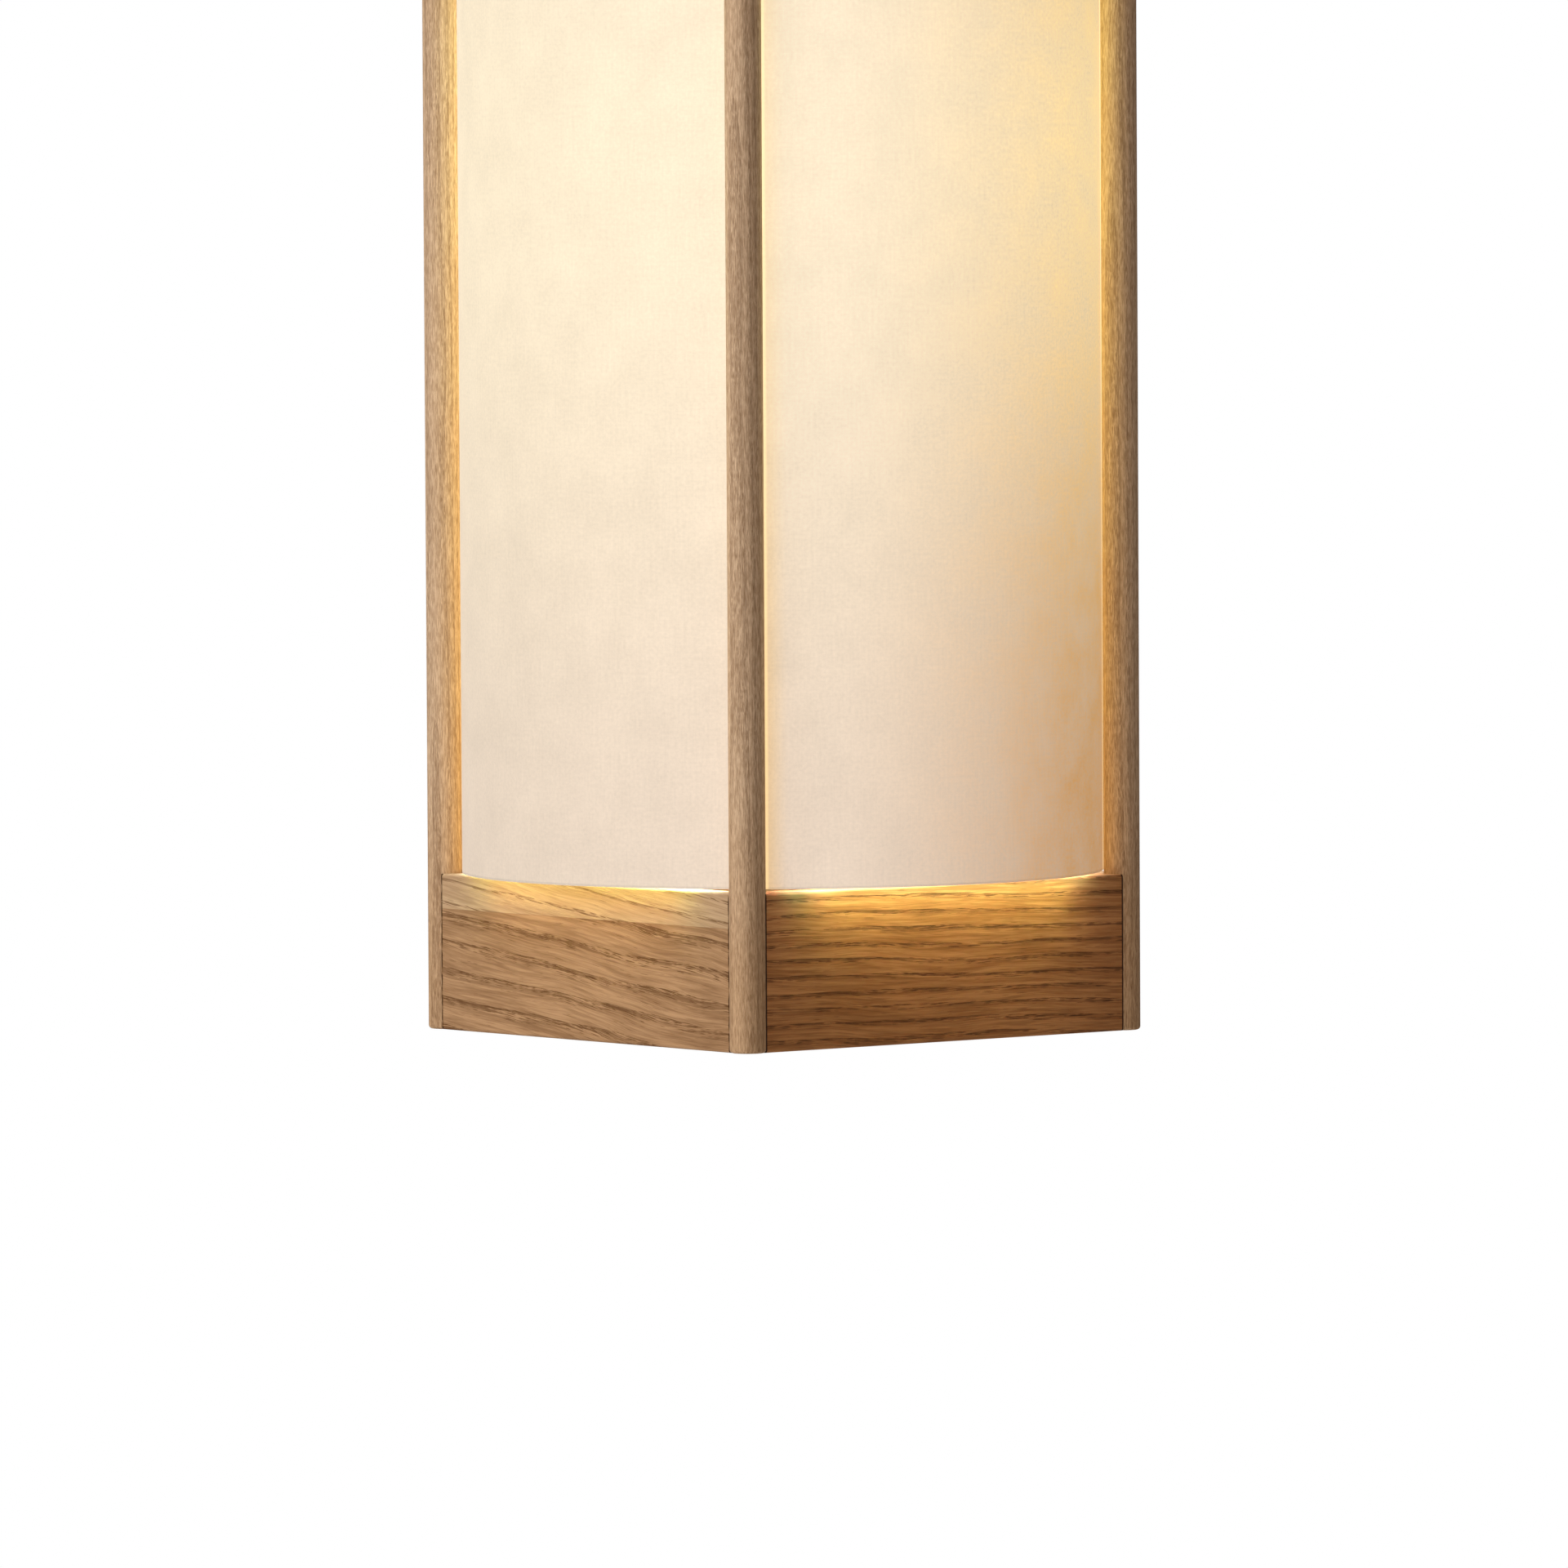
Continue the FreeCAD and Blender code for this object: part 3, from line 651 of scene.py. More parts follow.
@dataclass(frozen=True)
class PaperFinish(Finish):
    """Translucent paper of the drum, lit from inside; width and height are the flat sheet's, in metres.

    Its light is a rest light, which falls off to the sides of the front, plus the lamp's bell of light.
    Round one angle, painted shade makes the paper browner, with less blue and green, and painted lamp
    light adds to the bell there. Past each post, going round, a thin painted highlight and a painted
    golden reflection of the post show. Sizes of clouds, grit, fibres and the painted shadow of the
    lower hoop along the bottom edge are in millimetres.
    """

    width: float
    height: float
    lamp_height: float
    base: Colour = (0.20, 0.18, 0.155)
    rest_light: Colour = (0.66, 0.53, 0.43)
    lamp_light: Colour = (0.21, 0.205, 0.10)
    lamp_spread: float = 0.145
    front: float = math.radians(240.0)
    unevenness: float = 0.12
    # Painted shade on the side of the drum at this angle: the colour it takes away, the painted lamp light
    # it adds, and the angles off that side where it starts and is full.
    toned_at: float = math.radians(315.0)
    toning: Colour = (0.18, 0.42, 0.635)
    toned_lamp_light: Colour = (0.20, 0.195, 0.115)
    toning_start: float = math.radians(78.0)
    toning_end: float = math.radians(10.0)
    # Painted golden reflection of each post on the paper past it: the colour it takes away, where it starts
    # and ends, and how much the lamp's bell weakens it.
    gold_loss: Colour = (0.0, 0.14, 0.42)
    gold_start: float = math.radians(2.9)
    gold_end: float = math.radians(7.3)
    gold_fade: float = 0.62
    # Painted highlight: a thin bright line just past each post, with its light, where it ends and how soft
    # that end is.
    line_light: Colour = (0.26, 0.18, 0.05)
    line_end: float = math.radians(3.6)
    line_soft: float = 0.008
    cloud_size: float = 24.0
    grit_size: float = 1.5
    upright_fibre: Triple = (1.1, 16.0, 1.0)
    level_fibre: Triple = (13.0, 1.0, 1.0)
    mottling: float = 0.18
    sand: float = 1.2
    # Painted shadow of the lower hoop along the bottom edge: its height, softness and how much it darkens.
    hem: float = 0.9
    hem_soft: float = 0.3
    hem_loss: float = 0.12

    def fill(self, paint: Paint) -> None:
        """Paper with fibres, cloudy toning and the lamp's glow as its own light.

        Args:
            paint: The blank material.
        """
        w = paint.w
        sheet = paint.sheet_mm(self.width, self.height)
        cloud, grit = paint.cloud(sheet, self.cloud_size, self.grit_size)
        upright = w.noise(sheet, self.upright_fibre, 3.0, 0.6)
        level = w.noise(sheet, self.level_fibre, 3.0, 0.6)
        fibre = w.add(w.times(upright, 0.6), w.times(level, 0.4))
        x, y, _ = w.split(paint.place())
        angle = w.math("ARCTAN2", y, x)
        turned = w.math("COSINE", w.times(w.math("SUBTRACT", angle, self.front), 2.0))
        even = w.add(w.times(turned, self.unevenness), 1.0 - self.unevenness)
        # Painted shade on one side of the drum, mottled by clouds and grit; the sand is also stronger there.
        facing = w.math("COSINE", w.math("SUBTRACT", angle, self.toned_at))
        painted_shade_side = w.step(w.math("ARCCOSINE", facing), self.toning_start, self.toning_end)
        painted_shade_mottled = w.times(painted_shade_side, w.add(w.times(cloud, 1.1), w.times(grit, 0.9)))
        sand = w.times(w.add(w.times(painted_shade_side, self.sand), 1.0), self.mottling)
        shade = w.add(
            1.0,
            w.times(w.about_zero(cloud), self.mottling),
            w.times(w.about_zero(grit), sand),
            w.times(w.about_zero(fibre), self.mottling),
        )
        # Painted shadow of the lower hoop darkens the bottom edge.
        hem = w.step(w.split(sheet)[1], self.hem + self.hem_soft, self.hem - self.hem_soft)
        shade = w.times(shade, w.inverse(w.times(hem, self.hem_loss)))
        glow = paint.glow(self.lamp_height, self.lamp_spread)
        # The painted shade takes blue and green from the paper's colour and rest light, and painted lamp
        # light adds to the bell there.
        kept = w.vector("SUBTRACT", WHITE, w.tint(self.toning, painted_shade_mottled))
        rest = w.vector("MULTIPLY", w.tint(self.rest_light, even), kept)
        lamp = w.vector("ADD", self.lamp_light, w.tint(self.toned_lamp_light, w.times(painted_shade_mottled, glow)))
        # Painted golden reflection of each post on the paper just past it, weaker in the lamp's bell and on
        # the painted-shade side.
        past = w.math("FLOORED_MODULO", w.math("SUBTRACT", angle, QUARTER / 2), QUARTER)
        beside = w.times(
            w.step(past, self.gold_end, self.gold_start),
            w.add(w.times(glow, -self.gold_fade), 1.0),
            w.inverse(painted_shade_side),
        )
        golden = w.vector("SUBTRACT", WHITE, w.tint(self.gold_loss, beside))
        light = w.tint(w.vector("ADD", rest, w.tint(lamp, glow)), shade)
        # Painted highlight: a thin bright line just past each post.
        line = w.tint(self.line_light, w.step(past, self.line_end, self.line_end - self.line_soft))
        paint.set(
            Base_Color=w.tint(w.vector("MULTIPLY", self.base, kept), shade),
            Emission_Color=w.vector("ADD", w.vector("MULTIPLY", light, golden), line),
            Emission_Strength=1.0,
            Roughness=w.add(w.times(fibre, 0.2), 0.62),
            Specular_IOR_Level=0.2,
            Normal=w.bump(w.add(w.times(fibre, 0.7), w.times(grit, 0.3)), 0.22, 0.1 * MM),
        )


@dataclass(frozen=True)
class LiningFinish(Finish):
    """Inner face of the paper drum, bright with lamp light. Clouds and grit are in millimetres."""

    width: float
    height: float
    lamp_height: float
    base: Colour = (0.62, 0.52, 0.38)
    rest_light: Colour = (0.36, 0.24, 0.105)
    lamp_light: Colour = (0.36, 0.27, 0.14)
    lamp_spread: float = 0.12
    cloud_size: float = 30.0
    grit_size: float = 1.3

    def fill(self, paint: Paint) -> None:
        """Lining, brightest round the lamp.

        Args:
            paint: The blank material.
        """
        w = paint.w
        sheet = paint.sheet_mm(self.width, self.height)
        cloud, grit = paint.cloud(sheet, self.cloud_size, self.grit_size)
        shade = w.add(w.times(cloud, 0.2), w.times(grit, 0.1), 0.85)
        glow = paint.glow(self.lamp_height, self.lamp_spread)
        light = w.vector("ADD", self.rest_light, w.tint(self.lamp_light, glow))
        paint.set(
            Base_Color=w.tint(self.base, shade),
            Emission_Color=w.tint(light, shade),
            Emission_Strength=1.0,
            Roughness=w.add(w.times(grit, 0.2), 0.6),
            Normal=w.bump(grit, 0.2, 0.1 * MM),
        )


@dataclass(frozen=True)
class CoatFinish(Finish):
    """Powder coat, moulding or glaze: a cloudy colour with a fine skin. Sizes are in millimetres.

    A diffuser also has a light, which changes to the neck's light between two heights in metres.
    """

    colour: Colour
    soiled: Colour
    rough: float = 0.45
    cloud_size: float = 14.0
    grit_size: float = 0.5
    relief: float = 0.12
    coat: float = 0.0
    light: Optional[Colour] = None
    light_strength: float = 0.0
    neck_light: Colour = (0.62, 0.42, 0.22)
    neck: Tuple[float, float] = (0.0, 0.0)

    def fill(self, paint: Paint) -> None:
        """A coat, or a glowing diffuser where it has a light.

        Args:
            paint: The blank material.
        """
        w = paint.w
        cloud, grit = paint.cloud(paint.place_mm(), self.cloud_size, self.grit_size)
        soil = w.times(w.step(cloud, 0.45, 0.75), 0.5)
        paint.set(
            Base_Color=w.mix(soil, self.colour, self.soiled),
            Roughness=w.add(w.times(cloud, 0.12), w.times(grit, 0.08), self.rough - 0.1),
            Normal=w.bump(grit, self.relief, 0.06 * MM),
        )
        if self.coat:
            paint.set(Coat_Weight=self.coat, Coat_Roughness=0.12)
        if self.light:
            rise = w.step(w.split(paint.place())[2], *self.neck)
            paint.set(Emission_Color=w.mix(rise, self.light, self.neck_light))
            paint.set(Emission_Strength=self.light_strength)


@dataclass(frozen=True)
class MetalFinish(Finish):
    """Turned or rolled metal with lathe marks, scratches and a dulled film. Sizes are in millimetres."""

    colour: Colour
    film: Colour
    rough: float = 0.3
    pitch: float = 0.35
    film_size: float = 5.0
    grit_size: float = 0.4

    def fill(self, paint: Paint) -> None:
        """Metal whose marks and film change its colour, gloss and relief.

        Args:
            paint: The blank material.
        """
        w = paint.w
        place = paint.place_mm()
        made = w.use(Effects.lathe_marks(), {"Position": place, "Pitch": self.pitch})
        marks, scratches = made["Marks"], made["Scratches"]
        cloud, _ = paint.cloud(place, self.film_size, self.grit_size)
        film = w.times(w.step(cloud, 0.4, 0.7), 0.6)
        rough = w.add(w.times(marks, 0.16), w.times(scratches, 0.1), w.times(film, 0.12))
        paint.set(
            Base_Color=w.mix(film, self.colour, self.film),
            Metallic=1.0,
            Roughness=w.add(rough, self.rough - 0.12),
            Normal=w.bump(w.add(w.times(marks, 0.6), w.times(scratches, 0.4)), 0.18, 0.05 * MM),
        )


@dataclass(frozen=True)
class FloorFinish(Finish):
    """Pale studio floor: its shadow shows near the middle, and it runs out into white. Clear from below."""

    reach: float
    colour: Colour = (0.93, 0.93, 0.92)
    worn: Colour = (0.86, 0.86, 0.86)
    cloud: Triple = (0.02, 0.02, 0.02)
    fade: Tuple[float, float] = (0.3, 0.9)
    least_white: float = 0.7

    def fill(self, paint: Paint) -> None:
        """A floor that cameras, mirrors and glass see as near white.

        Args:
            paint: The blank material.
        """
        w = paint.w
        grain = w.noise(paint.place(), self.cloud, 3.0)
        paint.set(Base_Color=w.mix(w.times(grain, 0.3), self.colour, self.worn), Roughness=0.8)
        white = w.node("Emission", {"Color": WHITE})
        outward = w.step(w.radius(paint.place()), *(self.reach * share for share in self.fade))
        whiteness = w.add(w.times(outward, 1.0 - self.least_white), self.least_white)
        top = w.blend(w.times(w.seen(), whiteness), paint.shader.outputs[0], white.outputs[0])
        below = w.node("NewGeometry").outputs["Backfacing"]
        w.feed(paint.surface, w.blend(below, top, w.node("BsdfTransparent").outputs[0]))


POST = WoodFinish(
    "post_ash", Run.UPRIGHT,
    Grain(
        ring_spacing=2.7, slope=0.006, wander=0.7, band=0.6, vessel_length=4.5, vessel_width=0.42,
        fibre_length=4.4, fibre_width=0.42, shift=(11.0, 3.0, 7.0),
    ),
    WoodTone(
        light=(0.63, 0.456, 0.308), dark=(0.37, 0.241, 0.144), late=(0.34, 0.21, 0.115),
        vessel=(0.15, 0.08, 0.04), ring_depth=0.12, vessel_depth=0.5, slow_share=0.06,
    ),
)
DOWEL = WoodFinish(
    "dowel_beech", Run.ALONG_X,
    Grain(ring_spacing=3.0, wander=0.8, band=0.8, vessel_length=1.6, vessel_width=0.4, fibre_length=5.0),
    WoodTone(
        light=(0.58, 0.40, 0.25), dark=(0.46, 0.30, 0.18), late=(0.40, 0.25, 0.14),
        vessel=(0.28, 0.16, 0.08), ring_depth=0.2, vessel_depth=0.5,
    ),
)
# Ash of the front boards, browner and redder than the others: partly the plank's own tone, partly painted
# warm light on a face in shade.
PAINTED_WARM_ASH = WoodTone(
    light=(0.455, 0.215, 0.085), dark=(0.28, 0.118, 0.04), late=(0.195, 0.076, 0.025),
    vessel=(0.055, 0.021, 0.008), vessel_depth=0.92,
)
RED_ASH = WoodTone(
    light=(0.437, 0.262, 0.141), dark=(0.28, 0.155, 0.077), vessel=(0.1, 0.042, 0.015),
    ring_depth=0.18, vessel_depth=0.95,
)
PALE_ASH = WoodTone(
    light=(0.51, 0.355, 0.215), dark=(0.395, 0.255, 0.147), late=(0.33, 0.19, 0.092),
    vessel=(0.12, 0.055, 0.022), ring_depth=0.22, vessel_depth=0.8,
)
BOARDS = {
    Side.FRONT: WoodFinish(
        "board_ash_front", Run.ALONG_X,
        Grain(
            ring_spacing=6.4, slope=0.02, wander=1.9, band=0.42, crowding=0.34, vessel_length=9.0,
            vessel_width=0.34, shift=(5.0, 1.0, 0.0),
        ),
        PAINTED_WARM_ASH, joint=0.95,
    ),
    Side.RIGHT: WoodFinish(
        "board_ash_right", Run.ALONG_Y,
        Grain(ring_spacing=9.5, slope=0.06, wander=2.4, band=0.4, shift=(0.0, 31.0, 9.0)),
    ),
    Side.BACK: WoodFinish(
        "board_ash_back", Run.ALONG_X,
        Grain(ring_spacing=8.2, slope=-0.04, wander=2.0, shift=(70.0, 12.0, 0.0)),
    ),
    Side.LEFT: WoodFinish(
        "board_ash_left", Run.ALONG_Y,
        Grain(
            ring_spacing=12.0, slope=-0.1, wander=2.6, band=0.44, crowding=0.28, vessel_length=8.0,
            vessel_width=0.33, shift=(40.0, 3.0, 0.0),
        ),
        RED_ASH, joint=0.2,
    ),
}
STRIP_GRAIN = Grain(
    ring_spacing=9.0, slope=-0.11, wander=1.8, band=0.2, vessel_length=11.0, shift=(90.0, 5.0, 0.0)
)
POWDER_COAT = CoatFinish(
    "white_powder_coat", (0.83, 0.82, 0.79), (0.74, 0.72, 0.67), relief=0.3, grit_size=0.35
)
MOULDING = CoatFinish("white_moulding", (0.82, 0.81, 0.78), (0.74, 0.72, 0.68), rough=0.38, coat=0.15)
GLAZE = CoatFinish("glazed_block", (0.80, 0.77, 0.70), (0.66, 0.62, 0.55), rough=0.3, coat=0.6)
HOUSING = CoatFinish("lamp_housing_white", (0.82, 0.81, 0.78), (0.74, 0.72, 0.68), rough=0.3, coat=0.25)
SOLDER_MASK = CoatFinish("light_board_white", (0.80, 0.80, 0.78), (0.66, 0.66, 0.64), cloud_size=4.0)
BLACK_GLASS = CoatFinish("black_glass", (0.012, 0.012, 0.016), (0.03, 0.03, 0.035), rough=0.2, coat=0.5)
GLOBE = CoatFinish(
    "frosted_globe", (0.52, 0.47, 0.39), (0.48, 0.42, 0.34), rough=0.5,
    light=(1.0, 0.88, 0.68), light_strength=0.85,
)
ZINC = MetalFinish("zinc_plate", (0.60, 0.59, 0.56), (0.44, 0.43, 0.41), rough=0.36)
SATIN_BRASS = MetalFinish("satin_brass", (0.70, 0.50, 0.22), (0.50, 0.34, 0.14), rough=0.34)
BRIGHT_BRASS = MetalFinish("bright_brass", (0.80, 0.60, 0.28), (0.62, 0.44, 0.19), rough=0.24)
NICKEL = MetalFinish("nickel_plate", (0.74, 0.71, 0.65), (0.58, 0.55, 0.50), rough=0.24)


@dataclass
class Skin:
    """A surface: its points, its faces in blocks and, where it has them, face indices and UV shares.

    The faces of one block have the same number of corners, one line of point numbers a face.
    """

    points: np.ndarray
    faces: List[np.ndarray]
    face_index: Optional[np.ndarray] = None
    shares: Optional[np.ndarray] = None
    crease: float = math.radians(38.0)

    @staticmethod
    def net(rows: int, columns: int, wrap_rows: bool, wrap_columns: bool) -> np.ndarray:
        """Four-sided faces of a grid of points.

        Args:
            rows: Number of rows.
            columns: Number of columns.
            wrap_rows: Join the last row to the first.
            wrap_columns: Join the last column to the first.

        Returns:
            One line of four point numbers a face. With rows going up and columns going round
            anticlockwise, the faces point outwards.
        """
        i = np.arange(rows if wrap_rows else rows - 1)
        j = np.arange(columns if wrap_columns else columns - 1)
        i, j = np.meshgrid(i, j, indexing="ij")
        up, on = (i + 1) % rows, (j + 1) % columns
        corners = (i * columns + j, i * columns + on, up * columns + on, up * columns + j)
        return np.stack(corners, axis=-1).reshape(-1, 4)

    @classmethod
    def round(cls, rings: np.ndarray, closed: bool) -> "Skin":
        """A surface of rings about an axis.

        Args:
            rings: Points as rows of rings, each going round anticlockwise, with the material on the left
                of the profile.
            closed: Whether the last ring joins the first. If not, each end is closed by a fan of
                triangles to the middle of its ring.

        Returns:
            The surface.
        """
        rows, columns = rings.shape[:2]
        points = rings.reshape(-1, 3)
        faces = [cls.net(rows, columns, closed, True)]
        if not closed:
            start, last = len(points), (rows - 1) * columns
            points = np.vstack([points, rings[0].mean(0), rings[-1].mean(0)])
            j = np.arange(columns)
            on = (j + 1) % columns
            faces.append(np.stack([np.full(columns, start), on, j], axis=-1))
            faces.append(np.stack([np.full(columns, start + 1), last + j, last + on], axis=-1))
        return cls(points, faces)

    @classmethod
    def joined(cls, skins: Sequence["Skin"]) -> "Skin":
        """Put several surfaces together.

        Args:
            skins: Surfaces without face indices and UV shares.

        Returns:
            One surface.
        """
        starts = np.cumsum([0] + [len(skin.points) for skin in skins])
        faces = [block + start for skin, start in zip(skins, starts) for block in skin.faces]
        return cls(np.vstack([skin.points for skin in skins]), faces)

    def to_object(self, name: str) -> bpy.types.Object:
        """Put the surface into a smooth mesh object at the origin.

        Args:
            name: The object's name.

        Returns:
            The object.
        """
        mesh = bpy.data.meshes.new(name)
        mesh.from_pydata(self.points, [], sum((block.tolist() for block in self.faces), []))
        mesh.polygons.foreach_set("use_smooth", np.ones(len(mesh.polygons), bool))
        if self.face_index is not None:
            mesh.polygons.foreach_set("material_index", self.face_index.astype(np.int32))
        if self.shares is not None:
            corner = np.zeros(len(mesh.loops), np.int32)
            mesh.loops.foreach_get("vertex_index", corner)
            layer = mesh.uv_layers.new(name="sheet")
            layer.data.foreach_set("uv", self.shares[corner].astype(np.float32).ravel())
        mesh.set_sharp_from_angle(angle=self.crease)
        mesh.validate()
        mesh.update()
        made = bpy.data.objects.new(name, mesh)
        bpy.context.scene.collection.objects.link(made)
        return made


@dataclass
class Turning:
    """A turned profile about Z, with a rounded screw thread where a depth is given."""

    pitch: float = 1.0 * MM
    segments: int = 64
    samples_per_turn: int = 9
    spots: List[Triple] = field(default_factory=list)

    def to(self, radius: float, height: float) -> "Turning":
        """Add a plain corner of the profile."""
        self.spots.append((radius, height, 0.0))
        return self

    def thread(self, radius: float, low: float, high: float, depth: float) -> "Turning":
        """Add a threaded stretch, going up.

        Args:
            radius: Radius of the crests.
            low: Lower end.
            high: Upper end.
            depth: Depth of the thread, which runs out over one turn at each end.

        Returns:
            The same profile.
        """
        count = max(int((high - low) / self.pitch * self.samples_per_turn), 8)
        heights = np.linspace(low, high, count)
        ends = np.minimum(heights - low, high - heights) / self.pitch
        self.spots += list(zip(np.full(count, radius), heights, depth * np.clip(ends, 0.0, 1.0)))
        return self

    def skin(self, closed: bool = True) -> Skin:
        """The turned surface: radius less depth times a cosine wave of height over pitch minus angle.

        Args:
            closed: Whether the profile is a closed loop, as of a tube.

        Returns:
            The surface.
        """
        radius, height, depth = (np.array(part)[:, None] for part in zip(*self.spots))
        angle = np.linspace(0.0, 2 * np.pi, self.segments, endpoint=False)[None, :]
        wave = 0.5 - 0.5 * np.cos(2 * np.pi * height / self.pitch - angle)
        reach = radius - depth * wave
        rings = np.stack([reach * np.cos(angle), reach * np.sin(angle), height + 0.0 * angle], axis=-1)
        return Skin.round(rings, closed)


class Workshop:
    """Makes finishes once each, dresses CAD nodes and turns surfaces into pieces."""

    def __init__(self, frame: Dict[str, object]) -> None:
        """Keep the frame's nodes."""
        self.nodes = frame["nodes"]
        self.made: Dict[str, bpy.types.Material] = {}

    def material(self, finish: Finish) -> bpy.types.Material:
        """The material of a finish, made at its first use.

        Args:
            finish: The finish.

        Returns:
            Its material.
        """
        if finish.name not in self.made:
            self.made[finish.name] = finish.make()
        return self.made[finish.name]

    def dress(self, finishes: Dict[str, Finish]) -> None:
        """Give CAD nodes their finishes.

        Args:
            finishes: Each node's finish, by the node's name.
        """
        for node, finish in finishes.items():
            mesh = self.nodes[node].data
            mesh.materials.clear()
            mesh.materials.append(self.material(finish))
            log.info("dressed %s in %s", node, finish.name)

    def piece(
        self, name: str, skin: Skin, finishes: Sequence[Finish], body: Body, slot: str, stands_for: str
    ) -> bpy.types.Object:
        """Turn a surface into a piece that stands for a CAD node.

        Args:
            name: The piece's name.
            skin: Its surface.
            finishes: Its finishes, in the order of the surface's face indices.
            body: The body it rides on.
            slot: The record's material slot; not used.
            stands_for: The CAD node that it replaces.

        Returns:
            The new object.
        """
        made = skin.to_object(name)
        for finish in finishes:
            made.data.materials.append(self.material(finish))
        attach(made, body.value)
        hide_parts(stands_for)
        log.info("built %s for %s, %d faces", name, stands_for, len(made.data.polygons))
        return made


@dataclass
class WoodenFrame:
    """Posts, boards and dowels; the strip along the left boards' tops has its height in millimetres."""

    shop: Workshop
    strip_height: float = 14.5

    def board_finish(self, side: Side) -> WoodFinish:
        """The finish of the boards on one side, fitted to their length.

        Args:
            side: The side of the frame.

        Returns:
            The finish.
        """
        low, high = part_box("lower_board_" + side.value)
        finish = replace(BOARDS[side], half_length=max(high.x - low.x, high.y - low.y) / 2 / MM)
        if side is not Side.LEFT:
            return finish
        return replace(finish, strip=GluedStrip(high.z / MM - self.strip_height, STRIP_GRAIN, PALE_ASH))

    def dress(self) -> None:
        """Finish every wooden piece."""
        low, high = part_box("post_front_left")
        post = replace(POST, oiled_ends=(low.z / MM, high.z / MM))
        for depth in (Side.FRONT, Side.BACK):
            for width in (Side.LEFT, Side.RIGHT):
                self.shop.dress({f"post_{depth.value}_{width.value}": post})
        for side in Side:
            finish = self.board_finish(side)
            self.shop.dress({f"{tier.value}_board_{side.value}": finish for tier in Tier})
        self.shop.dress({tier.value + "_dowels": DOWEL for tier in Tier})


@dataclass
class PaperDrum:
    """The shade: one sheet of paper bent round two wire hoops and lapped beside the back right post."""

    shop: Workshop
    thickness: float = 0.54 * MM
    lap: float = 12 * MM
    lap_start: float = math.radians(48.65)
    lap_lift: float = 0.6 * MM
    lap_ramp: float = 4 * MM
    glow_rise: float = 14 * MM
    columns: int = 481
    rows: int = 41

    def __post_init__(self) -> None:
        """Read the drum's size and the lamp's height from the frame."""
        low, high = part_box("shade_skin")
        globe_low, globe_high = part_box("lamp_globe")
        self.radius = min(high.x, high.y, -low.x, -low.y)
        self.bottom, self.top = low.z, high.z
        self.lamp_height = (globe_low.z + globe_high.z) / 2
        self.width = 2 * math.pi * self.radius + self.lap
        self.height = self.top - self.bottom

    def skin(self) -> Skin:
        """The bent sheet: angle is length over radius, and the radius lifts by the lap over its ramp.

        Returns:
            Both faces of the sheet with its four edges; face index 0 is the outside, 1 the lining.
        """
        along = np.linspace(0.0, self.width, self.columns)
        up = np.linspace(0.0, 1.0, self.rows)
        lift = np.clip((along - (self.width - self.lap - self.lap_ramp)) / self.lap_ramp, 0.0, 1.0)
        outer = self.radius + self.lap_lift * lift * lift * (3 - 2 * lift)
        angle = self.lap_start + along / self.radius
        share_up = np.concatenate([up, up[::-1]])[:, None]
        inside = np.repeat([0.0, 1.0], self.rows)[:, None]
        reach = outer[None, :] - self.thickness * inside
        height = self.bottom + self.height * share_up
        points = np.stack([reach * np.cos(angle), reach * np.sin(angle), height + 0.0 * reach], axis=-1)
        around = 2 * self.rows
        faces = Skin.net(around, self.columns, True, False)
        row = np.repeat(np.arange(around), self.columns - 1)
        lining = (row >= self.rows) & (row < around - 1)
        k = np.arange(self.rows - 1)
        back = around - 1 - k
        start = np.stack([k, k + 1, back - 1, back], axis=-1) * self.columns
        end = start[:, ::-1] + self.columns - 1
        index = np.concatenate([lining, np.zeros(2 * len(k), bool)])
        shares = np.stack([(along / self.width)[None, :] + 0.0 * share_up, share_up + 0.0 * along], axis=-1)
        return Skin(points.reshape(-1, 3), [faces, start, end], index, shares.reshape(-1, 2))

    def build(self) -> None:
        """Build the sheet and finish the wires."""
        outside = PaperFinish("shade_paper", self.width, self.height, self.lamp_height + self.glow_rise)
        lining = LiningFinish("shade_lining", self.width, self.height, self.lamp_height)
        sheet = self.shop.piece(
            "shade_sheet", self.skin(), (outside, lining), Body.FRAME, "shade_sheet", "shade_skin"
        )
        self.shop.dress({"shade_carrier": POWDER_COAT, "shade_lower_hoop": POWDER_COAT})


